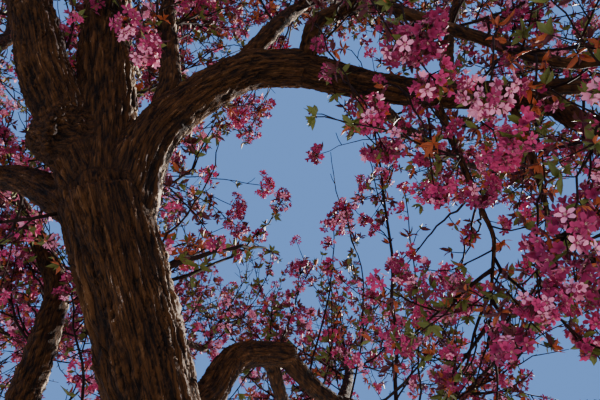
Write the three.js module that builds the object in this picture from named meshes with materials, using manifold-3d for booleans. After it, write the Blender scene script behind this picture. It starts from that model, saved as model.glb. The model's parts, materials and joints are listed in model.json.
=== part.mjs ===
// Pink blossom tree, an old flowering crabapple that forks low, in millimetres with +Z up.
// The origin is the middle of the flat cut under the trunk, at ground level.
// A limb is a round taper swept along a smooth line, and each foliage mass grows from the tip of its limb.
import * as THREE from "three";
import { mergeVertices } from "three/addons/utils/BufferGeometryUtils.js";
import Module from "manifold-3d";

const wasm = await Module();
wasm.setup();

// Clearance between neighbouring pieces of wood, and between a limb's tip and the stem of its foliage.
const WOOD_GAP = 0.45;
const STEM_GAP = 0.3;

// Points of a mesh closer than this are welded.
const WELD = 0.02;

// The trunk: diameters at shares of its height, and the roots' flare at the foot.
const TRUNK_GIRTH = [
  [0, 430],
  [0.06, 380],
  [0.16, 330],
  [0.35, 306],
  [0.68, 300],
  [0.84, 318],
  [1, 352],
];
const TRUNK_SIDES = 15;
const TRUNK_RINGS = [0, 0.03, 0.07, 0.13, 0.22, 0.34, 0.46, 0.58, 0.7, 0.81, 0.91, 1];
const ROOT_LOBES = 5;
const ROOT_LOBE_DEPTH = 0.2;
const ROOT_FLARE_SHARE = 0.12;

// Limbs other than the trunk: how far a limb starts back inside its parent's end, its collar at a fork,
// the longest step between rings, and its number of sides down to a given diameter.
const END_LAP = 40;
const COLLAR_SWELL = 0.22;
const COLLAR_LENGTHS = 1.1;
const LIMB_RING_STEP = 330;
const LIMB_LEAST_RINGS = 3;
const LIMB_SIDES = [
  [170, 9],
  [90, 7],
  [0, 5],
];

// The space of one foliage mass, and how clear its twigs and leaves stay of the wood.
const SPACE_GAP = 6;
const SPACE_FLATNESS = 0.86;
const LIMB_CLEARANCE = 12;
const WOOD_STEP = 120;
const ROOT_FREE = 90;

// The stem of a mass goes on from its limb, then turns to the middle of the mass and beyond.
const STEM_SIDES = 4;
const STEM_RINGS = [0, 0.3, 0.65, 1];
const STEM_STRAIGHT = 0.18;
const STEM_ONWARD = 0.62;
const STEM_GIRTH_SHARES = [0.9, 0.32];

// Twigs stand round the stem by the golden angle, and the last one carries the stem on.
const TWIG_SIDES = 3;
const TWIG_COUNT = 5;
const TWIG_FIRST = 0.3;
const TWIG_LAST_SIDE = 0.92;
const TWIG_END = 0.97;
const TWIG_PITCH = 62;
const TWIG_PITCH_SPREAD = 24;
const TWIG_PITCH_FALL = 22;
const TWIG_END_PITCH = 8;
const TWIG_TURN_SPREAD = 40;
const MASS_TURN = 67;
const GOLDEN_ANGLE = 137.5;
const TWIG_REACH_SHARE = 0.62;
const TWIG_LONGEST = 820;
const TWIG_RADIUS = 10;
const TWIG_TIP_SHARE = 0.17;
const TWIG_SHORTENING = 0.75;
const TRIES = 4;

// A leaf is larger than life and stands for a spray. Its sizes are shares of its length.
const LEAF_LONGEST = 480;
const LEAF_SHORTEST = 170;
const LEAF_WIDTH = 0.5;
const LEAF_THICKNESS = 0.045;
const LEAF_WIDEST = 0.45;
const LEAF_CLEAR_RADIUS = 0.15;
const LEAF_ROOT_LAP = 50;
const LEAF_ROOT_SHARE = 0.3;
const END_LEAF_REACH = 0.97;
const SIDE_LEAF_REACH = 0.9;
const SIDE_LEAVES = 3;
const SMALL_REACH = 920;
const SMALL_SIDE_LEAVES = 2;
const SIDE_LEAF_FIRST = 0.35;
const SIDE_LEAF_SPAN = 0.5;
const SIDE_LEAF_JITTER = 0.1;
const SIDE_LEAF_PITCH = [48, 20];
const SIDE_LEAF_TURN_SPREAD = 60;
const NEXT_TURN = 90;

// The open lane where the sky shows through the crown: a cone from head height in front of the trunk.
const LANE_APEX = [420, -1800, 1300];
const LANE_HEADING = 94;
const LANE_RISE = 40;
const LANE_HALF_ANGLE = 9;

// Each limb: its parent, the share of the parent's length where it springs, its diameters at base and tip,
// its spans as [heading, rise, length] with heading 0 along +X and 90 along +Y, and the foliage at its tip,
// whose middle lies at [heading, rise] from the tip.
const LIMBS = {
  trunk: { spans: [[0, 90, 300], [180, 86, 260], [-140, 84, 650], [-138, 74, 550], [-132, 70, 800]] },
  leader: {
    from: "trunk", share: 1, girth: [265, 72], thick: 2.6,
    spans: [[-154, 84, 460], [-98, 76, 520], [-86, 82, 710], [52, 78, 560]],
    foliage: { reach: 1020, heading: 45, rise: 80 },
  },
  left_limb: {
    from: "trunk", share: 0.93, girth: [225, 60], thick: 1.9,
    spans: [[-146, 64, 590], [-118, 56, 300], [-110, 62, 320], [-142, 54, 710], [-154, 48, 540]],
    foliage: { reach: 1050, heading: -152, rise: 42 },
  },
  lopped_knob: {
    from: "left_limb", share: 0.21, girth: [270, 105],
    spans: [[-178, 15, 105], [178, 55, 75]],
  },
  right_bough: {
    from: "trunk", share: 0.93, girth: [225, 182],
    spans: [[-26, 72, 480], [4, 52, 340], [4, 32, 290], [10, 4, 290]],
  },
  right_bough_outer: {
    from: "right_bough", share: 1, girth: [172, 122],
    spans: [[14, -20, 280], [8, -16, 380], [-2, -14, 400]],
  },
  right_high_arm: {
    from: "right_bough_outer", share: 1, girth: [95, 45],
    spans: [[-25, -20, 200], [15, 0, 490]],
    foliage: { reach: 950, heading: 10, rise: 22 },
  },
  right_low_arm: {
    from: "right_bough_outer", share: 0.93, girth: [112, 48],
    spans: [[-55, -55, 280], [-35, -65, 240], [-40, -15, 460]],
    foliage: { reach: 900, heading: -18, rise: -5 },
  },
  upright_arm: {
    from: "right_bough", share: 0.2, girth: [125, 50],
    spans: [[-25, 70, 470], [-110, 85, 290], [-85, 85, 390], [-35, 45, 820]],
    foliage: { reach: 1000, heading: -20, rise: 48 },
  },
  riser: {
    from: "right_bough", share: 0.72, girth: [98, 45],
    spans: [[-10, 50, 360], [30, 60, 290], [20, 50, 310], [45, 35, 500]],
    foliage: { reach: 1000, heading: 55, rise: 52 },
  },
  arched_arm: {
    from: "right_bough_outer", share: 0.03, girth: [92, 66],
    spans: [[-65, 35, 220], [-10, 20, 140], [-25, -15, 200]],
  },
  arched_arm_outer: {
    from: "arched_arm", share: 1, girth: [58, 40],
    spans: [[0, -50, 470], [-5, -40, 510], [-55, -5, 450]],
    foliage: { reach: 950, heading: -60, rise: 18 },
  },
  slim_riser: {
    from: "right_bough_outer", share: 0.7, girth: [68, 38],
    spans: [[-50, 70, 280], [-15, 65, 410], [-15, 50, 430]],
    foliage: { reach: 950, heading: -5, rise: 40 },
  },
  hanging_arm: {
    from: "right_bough_outer", share: 0.63, girth: [46, 24],
    spans: [[65, -85, 410], [-20, -90, 310]],
    foliage: { reach: 600, heading: 140, rise: -75 },
  },
  outer_hanging_arm: {
    from: "right_bough_outer", share: 0.95, girth: [44, 24],
    spans: [[-145, -80, 370], [75, -50, 270]],
    foliage: { reach: 650, heading: 45, rise: -35 },
  },
  right_rear_bough: {
    from: "right_bough_outer", share: 0.3, girth: [80, 42],
    spans: [[60, 15, 630], [45, 5, 890]],
    foliage: { reach: 1050, heading: 48, rise: 18 },
  },
  low_bough: {
    from: "trunk", share: 0.64, girth: [128, 112],
    spans: [[65, 35, 310], [50, 50, 220], [45, 10, 320]],
  },
  low_bough_outer: {
    from: "low_bough", share: 1, girth: [98, 48],
    spans: [[55, -30, 360], [35, -5, 620]],
    foliage: { reach: 900, heading: 28, rise: 20 },
  },
  low_spur: {
    from: "low_bough", share: 0.85, girth: [70, 42],
    spans: [[85, -30, 290], [90, 10, 550]],
    foliage: { reach: 750, heading: 105, rise: 0 },
  },
  rear_right_bough: {
    from: "low_bough_outer", share: 0.45, girth: [66, 40],
    spans: [[80, 30, 580], [90, 20, 650]],
    foliage: { reach: 950, heading: 72, rise: 33 },
  },
  left_low_bough: {
    from: "trunk", share: 0.9, girth: [178, 55],
    spans: [[-175, 50, 390], [165, 35, 520], [170, 10, 970]],
    foliage: { reach: 1000, heading: 170, rise: 22 },
  },
  left_front_bough: {
    from: "left_low_bough", share: 0.45, girth: [80, 45],
    spans: [[-150, 10, 650], [-130, 0, 680]],
    foliage: { reach: 1000, heading: -143, rise: 8 },
  },
  rear_left_foot: {
    from: "trunk", share: 0.44, girth: [175, 165],
    spans: [[150, 25, 420], [165, 34, 500], [175, 64, 360]],
  },
  rear_left_bough: {
    from: "rear_left_foot", share: 1, girth: [150, 55],
    spans: [[5, 80, 360], [120, 82, 240], [-165, 62, 480], [140, 45, 600]],
    foliage: { reach: 1000, heading: 138, rise: 40 },
  },
  rear_left_low_arm: {
    from: "rear_left_bough", share: 0.25, girth: [80, 45],
    spans: [[120, 15, 540], [125, 10, 510]],
    foliage: { reach: 1000, heading: 130, rise: 20 },
  },
  rear_low_bough: {
    from: "trunk", share: 0.8, girth: [115, 50],
    spans: [[115, 25, 880], [100, 15, 830], [75, 5, 520]],
    foliage: { reach: 1000, heading: 78, rise: 33 },
  },
  rear_bough: {
    from: "leader", share: 0.25, girth: [125, 55],
    spans: [[115, 25, 890], [105, 30, 1150]],
    foliage: { reach: 1050, heading: 112, rise: 32 },
  },
  rear_upper_bough: {
    from: "leader", share: 0.6, girth: [95, 50],
    spans: [[110, 35, 870], [105, 35, 610]],
    foliage: { reach: 1000, heading: 110, rise: 58 },
  },
  left_rear_bough: {
    from: "left_limb", share: 0.55, girth: [95, 50],
    spans: [[130, 30, 740], [150, 25, 740]],
    foliage: { reach: 1050, heading: 156, rise: 38 },
  },
  front_left_bough: {
    from: "left_limb", share: 0.7, girth: [90, 48],
    spans: [[-105, -5, 710], [-125, -20, 510]],
    foliage: { reach: 1000, heading: -120, rise: -8 },
  },
  front_bough: {
    from: "leader", share: 0.65, girth: [110, 60],
    spans: [[-65, 30, 660], [-70, 10, 590]],
    foliage: { reach: 1050, heading: -75, rise: 42 },
  },
  front_low_bough: {
    from: "front_bough", share: 0.85, girth: [66, 42],
    spans: [[-70, -25, 640], [-85, -45, 640]],
    foliage: { reach: 1000, heading: -88, rise: -42 },
  },
  front_right_bough: {
    from: "upright_arm", share: 0.75, girth: [70, 44],
    spans: [[-55, 5, 870], [-40, -15, 770]],
    foliage: { reach: 1050, heading: -40, rise: 6 },
  },
};

const bark = new THREE.MeshStandardMaterial({ color: 0x4a382c, roughness: 0.93, metalness: 0 });
const blossom = new THREE.MeshStandardMaterial({ color: 0xc4487e, roughness: 0.7, metalness: 0 });

function direction(heading, rise) {
  const h = THREE.MathUtils.degToRad(heading);
  const r = THREE.MathUtils.degToRad(rise);
  return new THREE.Vector3(Math.cos(h) * Math.cos(r), Math.sin(h) * Math.cos(r), Math.sin(r));
}

// A small seeded source of numbers from 0 to 1, so that each mass always grows alike.
function seeded(seed) {
  let state = seed >>> 0;
  return () => {
    state = (state + 0x6d2b79f5) >>> 0;
    let t = Math.imul(state ^ (state >>> 15), 1 | state);
    t = (t + Math.imul(t ^ (t >>> 7), 61 | t)) ^ t;
    return ((t ^ (t >>> 14)) >>> 0) / 4294967296;
  };
}

// A unit vector square to the given one, always the same for the same input.
function squareTo(axis) {
  const up = Math.abs(axis.z) < 0.9 ? new THREE.Vector3(0, 0, 1) : new THREE.Vector3(1, 0, 0);
  return up.cross(axis).normalize();
}

// The direction that leans away from an axis by a pitch, at a turn round it, both in degrees.
function leaning(axis, pitch, turn) {
  const side = squareTo(axis).applyAxisAngle(axis, THREE.MathUtils.degToRad(turn));
  const lean = THREE.MathUtils.degToRad(pitch);
  return axis.clone().multiplyScalar(Math.cos(lean)).addScaledVector(side, Math.sin(lean));
}

function solidFrom(vertices, triangles) {
  const geometry = new THREE.BufferGeometry();
  geometry.setAttribute("position", new THREE.Float32BufferAttribute(vertices.flatMap((v) => v.toArray()), 3));
  geometry.setIndex(triangles.flat());
  const merged = mergeVertices(geometry, 1e-4);
  return new wasm.Manifold(
    new wasm.Mesh({
      numProp: 3,
      vertProperties: merged.attributes.position.array,
      triVerts: new Uint32Array(merged.index.array),
    }),
  );
}

// A closed round bar through rings of one size of polygon: stations hold a middle, an axis and a radius.
function sweep(stations, sides, radiusAt = (station) => station.radius) {
  const vertices = [];
  const triangles = [];
  let side = squareTo(stations[0].axis);
  stations.forEach((station, ring) => {
    side = side.clone().addScaledVector(station.axis, -side.dot(station.axis)).normalize();
    const across = station.axis.clone().cross(side);
    for (let i = 0; i < sides; i++) {
      const angle = (2 * Math.PI * i) / sides;
      const radius = radiusAt(station, angle);
      vertices.push(
        station.middle
          .clone()
          .addScaledVector(side, radius * Math.cos(angle))
          .addScaledVector(across, radius * Math.sin(angle)),
      );
      if (ring === 0) continue;
      const here = ring * sides + i;
      const next = ring * sides + ((i + 1) % sides);
      triangles.push([here - sides, next - sides, next], [here - sides, next, here]);
    }
  });
  const last = (stations.length - 1) * sides;
  for (let i = 1; i < sides - 1; i++) {
    triangles.push([0, i + 1, i], [last, last + i, last + i + 1]);
  }
  return { vertices, solid: () => solidFrom(vertices, triangles) };
}

// One limb: its smooth line, its girth along that line, and its solid.
class Limb {
  constructor(name, spec, parent) {
    this.name = name;
    this.spec = spec;
    this.parent = parent;
    const start = parent ? parent.pointAt(spec.share) : new THREE.Vector3();
    const points = [start];
    for (const [heading, rise, length] of spec.spans) {
      points.push(points.at(-1).clone().addScaledVector(direction(heading, rise), length));
    }
    if (parent && spec.share === 1) {
      points[0] = start.clone().addScaledVector(parent.axisAt(1), -END_LAP);
    }
    this.curve = new THREE.CatmullRomCurve3(points, false, "centripetal");
    this.length = this.curve.getLength();
  }

  pointAt(share) {
    return this.curve.getPointAt(share);
  }

  axisAt(share) {
    return this.curve.getTangentAt(share).normalize();
  }

  radiusAt(share) {
    if (!this.parent) {
      const upper = Math.max(1, TRUNK_GIRTH.findIndex(([at]) => at >= share));
      const [lowShare, low] = TRUNK_GIRTH[upper - 1];
      const [highShare, high] = TRUNK_GIRTH[upper];
      return THREE.MathUtils.mapLinear(share, lowShare, highShare, low, high) / 2;
    }
    const [base, tip] = this.spec.girth;
    const taper = base + (tip - base) * share ** (this.spec.thick ?? 1);
    const fade = Math.exp((-share * this.length) / (COLLAR_LENGTHS * base));
    return (taper * (1 + (this.spec.share === 1 ? 0 : COLLAR_SWELL * fade))) / 2;
  }

  shares() {
    if (!this.parent) return TRUNK_RINGS;
    const count = Math.max(LIMB_LEAST_RINGS, Math.ceil(this.length / LIMB_RING_STEP));
    return Array.from({ length: count + 1 }, (_, i) => i / count);
  }

  sides() {
    if (!this.parent) return TRUNK_SIDES;
    return LIMB_SIDES.find(([girth]) => this.spec.girth[0] > girth)[1];
  }

  // The limb's solid, or one grown all round by a margin, to cut its neighbours with.
  solid(margin = 0) {
    const shares = this.shares();
    const stations = shares.map((share) => ({
      middle: this.pointAt(share),
      axis: this.axisAt(share),
      radius: this.radiusAt(share) + margin / Math.cos(Math.PI / this.sides()),
      share,
    }));
    if (!this.parent) stations[0].axis = new THREE.Vector3(0, 0, 1);
    stations[0].middle.addScaledVector(stations[0].axis, -margin);
    stations.at(-1).middle.addScaledVector(stations.at(-1).axis, margin);
    const flare = ({ share, radius }, angle) => {
      const fade = Math.exp(-share / ROOT_FLARE_SHARE);
      return radius * (1 + ROOT_LOBE_DEPTH * fade * Math.cos(ROOT_LOBES * angle));
    };
    return (this.parent ? sweep(stations, this.sides()) : sweep(stations, this.sides(), flare)).solid();
  }

  // Short straight lengths of the limb, which twigs and leaves keep clear of.
  lengths() {
    const count = Math.max(LIMB_LEAST_RINGS, Math.ceil(this.length / WOOD_STEP));
    return Array.from({ length: count }, (_, i) => ({
      limb: this,
      atTip: i >= count - 2,
      from: this.pointAt(i / count),
      to: this.pointAt((i + 1) / count),
      radius: Math.max(this.radiusAt(i / count), this.radiusAt((i + 1) / count)),
    }));
  }
}

// The closest distance between two straight lengths.
function between(a, b, c, d) {
  const u = b.clone().sub(a);
  const v = d.clone().sub(c);
  const w = a.clone().sub(c);
  const uu = u.dot(u);
  const uv = u.dot(v);
  const vv = v.dot(v);
  const uw = u.dot(w);
  const vw = v.dot(w);
  const clamp = (value) => Math.min(1, Math.max(0, value));
  const spread = uu * vv - uv * uv;
  let s = spread > 1e-9 * uu * vv ? clamp((uv * vw - vv * uw) / spread) : 0;
  const t = clamp((uv * s + vw) / vv);
  s = clamp((uv * t - uw) / uu);
  return a.clone().addScaledVector(u, s).distanceTo(c.clone().addScaledVector(v, t));
}

// The space one mass keeps to: a flattened ball, cut by a plane against each neighbour.
class Space {
  constructor(limb, index) {
    const { reach, heading, rise } = limb.spec.foliage;
    this.index = index;
    this.limb = limb;
    this.reach = reach;
    this.heart = limb.pointAt(1).addScaledVector(direction(heading, rise), reach / 2);
    this.radii = new THREE.Vector3(reach, reach, reach * SPACE_FLATNESS);
  }

  settle(spaces) {
    this.walls = spaces
      .filter((other) => other !== this)
      .map((other) => {
        const normal = other.heart.clone().sub(this.heart);
        const share = this.reach / (this.reach + other.reach);
        const distance = normal.length() * share - SPACE_GAP / 2;
        return new THREE.Plane().setFromNormalAndCoplanarPoint(
          normal.normalize(),
          this.heart.clone().addScaledVector(normal, distance),
        );
      });
    if (!this.holds(this.limb.pointAt(1))) throw new Error(`${this.limb.name} ends outside its foliage`);
  }

  holds(point) {
    return (
      point.clone().sub(this.heart).divide(this.radii).length() <= 1 &&
      this.walls.every((wall) => wall.distanceToPoint(point) <= 0)
    );
  }

  // How far a straight line from a point inside runs before it leaves the space.
  runFrom(point, along) {
    const p = point.clone().sub(this.heart).divide(this.radii);
    const d = along.clone().divide(this.radii);
    const a = d.dot(d);
    const b = p.dot(d);
    let run = (-b + Math.sqrt(Math.max(0, b * b - a * (p.dot(p) - 1)))) / a;
    for (const wall of this.walls) {
      const closing = wall.normal.dot(along);
      if (closing > 1e-6) run = Math.min(run, -wall.distanceToPoint(point) / closing);
    }
    return Math.max(0, run);
  }
}

const laneApex = new THREE.Vector3(...LANE_APEX);
const laneAxis = direction(LANE_HEADING, LANE_RISE);
const laneCosine = Math.cos(THREE.MathUtils.degToRad(LANE_HALF_ANGLE));

function inLane(point) {
  const sight = point.clone().sub(laneApex);
  return sight.dot(laneAxis) > laneCosine * sight.length();
}

// The foliage of one limb: a stem, twigs round it by the golden angle, and leaves, all in its own space.
class Foliage {
  constructor(space, wood) {
    this.space = space;
    this.wood = wood.filter(({ limb, atTip }) => !(limb === space.limb && atTip));
    this.pieces = [];
  }

  // True where a round or leafy piece lies wholly in the space, off the lane and off the wood.
  fits(piece, from, to, radius) {
    const clear = this.wood.every(
      (length) => between(from, to, length.from, length.to) > length.radius + radius + LIMB_CLEARANCE,
    );
    return clear && piece.vertices.every((v) => this.space.holds(v) && !inLane(v));
  }

  stem() {
    const { limb, heart, reach } = this.space;
    const tip = limb.pointAt(1);
    const axis = limb.axisAt(1);
    const foot = tip.clone().addScaledVector(axis, STEM_GAP);
    const bend = tip.clone().addScaledVector(axis, reach * STEM_STRAIGHT);
    const onward = heart.clone().sub(bend).normalize();
    const top = bend.clone().addScaledVector(onward, reach * STEM_ONWARD);
    const middle = bend.clone().lerp(top, 0.5);
    this.line = new THREE.CatmullRomCurve3([foot, bend, middle, top], false, "centripetal");
    const stations = STEM_RINGS.map((share) => ({
      middle: this.line.getPointAt(share),
      axis: share === 0 ? axis : this.line.getTangentAt(share),
      radius: limb.radiusAt(1) * THREE.MathUtils.lerp(...STEM_GIRTH_SHARES, share),
    }));
    this.pieces.push(sweep(stations, STEM_SIDES).solid());
  }

  // A straight tapered twig, shortened until it fits, or nothing.
  twig(from, along, length) {
    for (let attempt = 0; attempt < TRIES; attempt++) {
      const to = from.clone().addScaledVector(along, length);
      const free = from.clone().addScaledVector(along, Math.min(ROOT_FREE, length / 3));
      const bar = sweep(
        [
          { middle: from, axis: along, radius: TWIG_RADIUS },
          { middle: to, axis: along, radius: TWIG_RADIUS * TWIG_TIP_SHARE },
        ],
        TWIG_SIDES,
      );
      if (this.fits(bar, free, to, TWIG_RADIUS)) {
        const solid = bar.solid();
        this.pieces.push(solid);
        return { end: to, solid };
      }
      length *= TWIG_SHORTENING;
    }
    return null;
  }

  // A leaf of eight faces, its root sunk past the middle of its twig. It is left out where it would touch another.
  leaf(carrier, root, along, length, turn) {
    const side = squareTo(along).applyAxisAngle(along, turn);
    const face = along.clone().cross(side);
    const place = (share, across, out) =>
      root
        .clone()
        .addScaledVector(along, share * length)
        .addScaledVector(side, across * length)
        .addScaledVector(face, out * length);
    const half = LEAF_WIDTH / 2;
    const thick = LEAF_THICKNESS / 2;
    const vertices = [
      place(0, 0, 0),
      place(LEAF_WIDEST, half, 0),
      place(1, 0, 0),
      place(LEAF_WIDEST, -half, 0),
      place(LEAF_WIDEST, 0, thick),
      place(LEAF_WIDEST, 0, -thick),
    ];
    const triangles = [];
    for (let i = 0; i < 4; i++) {
      const next = (i + 1) % 4;
      triangles.push([4, next, i], [5, i, next]);
    }
    const near = root.clone().addScaledVector(along, Math.min(ROOT_FREE, length / 3));
    if (!this.fits({ vertices }, near, vertices[2], LEAF_CLEAR_RADIUS * length)) return false;
    const solid = solidFrom(vertices, triangles);
    if (!this.pieces.every((piece) => piece === carrier || piece.intersect(solid).isEmpty())) return false;
    this.pieces.push(solid);
    return true;
  }

  grow() {
    this.stem();
    const { index } = this.space;
    for (let i = 0; i < TWIG_COUNT; i++) {
      const random = seeded(index * 100 + i);
      const last = i === TWIG_COUNT - 1;
      const share = last ? TWIG_END : THREE.MathUtils.lerp(TWIG_FIRST, TWIG_LAST_SIDE, i / (TWIG_COUNT - 2));
      const root = this.line.getPointAt(share);
      const axis = this.line.getTangentAt(share).normalize();
      const sidePitch = TWIG_PITCH + TWIG_PITCH_SPREAD * (random() - 0.5) - TWIG_PITCH_FALL * share;
      const turn = GOLDEN_ANGLE * i + TWIG_TURN_SPREAD * random() + MASS_TURN * index;
      const along = leaning(axis, last ? TWIG_END_PITCH : sidePitch, turn);
      const length = Math.min(TWIG_LONGEST, this.space.runFrom(root, along) * TWIG_REACH_SHARE);
      const twig = this.twig(root, along, length);
      if (twig) this.leafSet(twig, root, along, random);
    }
  }

  // The end leaf of a twig, which reaches for the edge of the space, and its side leaves.
  leafSet({ end, solid }, root, along, random) {
    const tipRoot = end.clone().addScaledVector(along, -LEAF_ROOT_LAP);
    const room = this.space.runFrom(tipRoot, along);
    this.leaf(solid, tipRoot, along, leafLength(room * END_LEAF_REACH), 2 * Math.PI * random());
    const count = this.space.reach < SMALL_REACH ? SMALL_SIDE_LEAVES : SIDE_LEAVES;
    for (let i = 0; i < count; i++) {
      const share = SIDE_LEAF_FIRST + SIDE_LEAF_SPAN * (i / count) + SIDE_LEAF_JITTER * random();
      const sunk = TWIG_RADIUS * THREE.MathUtils.lerp(1, TWIG_TIP_SHARE, share) * LEAF_ROOT_SHARE;
      const pitch = SIDE_LEAF_PITCH[0] + SIDE_LEAF_PITCH[1] * random();
      const turn = GOLDEN_ANGLE * i + SIDE_LEAF_TURN_SPREAD * random();
      const roll = 2 * Math.PI * random();
      for (let attempt = 0; attempt < TRIES; attempt++) {
        const out = leaning(along, pitch, turn + NEXT_TURN * attempt);
        const at = root.clone().lerp(end, share).addScaledVector(out, -sunk);
        const free = this.space.runFrom(at, out);
        if (this.leaf(solid, at, out, leafLength(free * SIDE_LEAF_REACH), roll)) break;
      }
    }
  }

  solid() {
    return largest(this.pieces.reduce((whole, piece) => whole.add(piece)).asOriginal().simplify(WELD));
  }
}

function leafLength(room) {
  return THREE.MathUtils.clamp(room, LEAF_SHORTEST, LEAF_LONGEST);
}

function largest(solid) {
  return solid.decompose().sort((a, b) => b.volume() - a.volume())[0];
}

function meshOf(solid, name, material) {
  const { vertProperties, triVerts } = solid.getMesh();
  const geometry = new THREE.BufferGeometry();
  geometry.setAttribute("position", new THREE.BufferAttribute(Float32Array.from(vertProperties), 3));
  geometry.setIndex(new THREE.BufferAttribute(Uint32Array.from(triVerts), 1));
  geometry.computeVertexNormals();
  const mesh = new THREE.Mesh(geometry, material);
  mesh.name = name;
  return mesh;
}

const tree = new THREE.Group();
const limbs = new Map();
const cutters = [];
for (const [name, spec] of Object.entries(LIMBS)) {
  const limb = new Limb(name, spec, limbs.get(spec.from));
  limbs.set(name, limb);
  const cut = cutters.reduce((whole, cutter) => whole.subtract(cutter), limb.solid());
  tree.add(meshOf(largest(cut), name, bark));
  cutters.push(limb.solid(WOOD_GAP));
}

const wood = [...limbs.values()].flatMap((limb) => limb.lengths());
const spaces = [...limbs.values()].filter((limb) => limb.spec.foliage).map((limb, i) => new Space(limb, i + 1));
for (const space of spaces) space.settle(spaces);
for (const space of spaces) {
  const foliage = new Foliage(space, wood);
  foliage.grow();
  tree.add(meshOf(foliage.solid(), `${space.limb.name}_foliage`, blossom));
}

export default tree;
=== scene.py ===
"""A pink crabapple in full blossom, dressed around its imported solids.

Lengths are metres and angles degrees, with +Z up, +X to the right and +Y away from the front.
Bark, twigs, blossom and leaves grow from the same plan of limbs as the solids, and by the same rule.
"""

from __future__ import annotations

import json
import logging
import math
from collections.abc import Iterable, Sequence
from dataclasses import dataclass, field, replace
from enum import Enum
from itertools import product

import bpy
import numpy as np
from bpy.types import Material, Mesh, Node, NodeSocket, NodeTree, Object
from mathutils import Matrix, Vector

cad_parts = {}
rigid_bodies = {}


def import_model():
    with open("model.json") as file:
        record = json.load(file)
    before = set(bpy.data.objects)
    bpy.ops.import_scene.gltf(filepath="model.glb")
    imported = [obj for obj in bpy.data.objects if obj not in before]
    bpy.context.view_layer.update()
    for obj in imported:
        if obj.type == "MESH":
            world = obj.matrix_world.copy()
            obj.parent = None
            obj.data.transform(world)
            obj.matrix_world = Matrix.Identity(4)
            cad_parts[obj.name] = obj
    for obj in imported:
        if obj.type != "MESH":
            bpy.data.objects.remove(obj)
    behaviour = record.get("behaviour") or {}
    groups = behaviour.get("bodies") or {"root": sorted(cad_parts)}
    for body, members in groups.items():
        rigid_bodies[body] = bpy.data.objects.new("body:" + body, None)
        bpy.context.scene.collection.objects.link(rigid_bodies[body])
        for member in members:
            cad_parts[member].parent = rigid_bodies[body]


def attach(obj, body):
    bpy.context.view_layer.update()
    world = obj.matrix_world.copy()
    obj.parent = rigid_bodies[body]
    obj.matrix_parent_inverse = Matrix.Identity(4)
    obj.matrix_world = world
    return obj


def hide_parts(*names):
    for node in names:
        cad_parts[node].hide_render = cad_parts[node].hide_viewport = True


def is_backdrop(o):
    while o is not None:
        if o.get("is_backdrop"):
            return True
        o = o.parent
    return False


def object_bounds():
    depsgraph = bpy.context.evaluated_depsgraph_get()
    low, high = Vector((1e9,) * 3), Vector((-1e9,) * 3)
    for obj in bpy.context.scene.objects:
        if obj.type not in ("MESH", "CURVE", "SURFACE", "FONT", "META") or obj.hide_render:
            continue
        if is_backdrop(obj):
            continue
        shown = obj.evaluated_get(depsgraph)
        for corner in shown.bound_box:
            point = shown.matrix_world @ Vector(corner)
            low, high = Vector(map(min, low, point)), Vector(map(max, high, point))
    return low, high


log = logging.getLogger("blossom_tree")

Array = np.ndarray
Pair = tuple[float, float]
Triple = tuple[float, float, float]
Colour = tuple[float, float, float, float]
UP = np.array([0.0, 0.0, 1.0])
GOLDEN_ANGLE = 137.5


@dataclass(frozen=True)
class LimbPlan:
    """The driving sizes of one limb."""

    parent: str | None  # the limb that it springs from, or None for the trunk
    share: float  # share of the parent's length where it springs
    girth: Pair  # diameters at its base and tip
    spans: tuple[Triple, ...]  # heading, rise and length of each span of its line
    # Reach of the foliage at its tip, and heading and rise of the way to its middle, if it has any
    mass: Triple | None = None
    thick: float = 1.0  # how long it stays thick before it tapers


def lengths(rows: Array) -> Array:
    """Return the length of each row."""
    return np.linalg.norm(rows, axis=1)


def units(rows: Array) -> Array:
    """Return each row at length one."""
    return rows / lengths(rows)[:, None]


def run_along(points: Array) -> Array:
    """Return how far along the line through some points each of them lies."""
    return np.concatenate([[0], np.cumsum(lengths(np.diff(points, axis=0)))])


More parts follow.
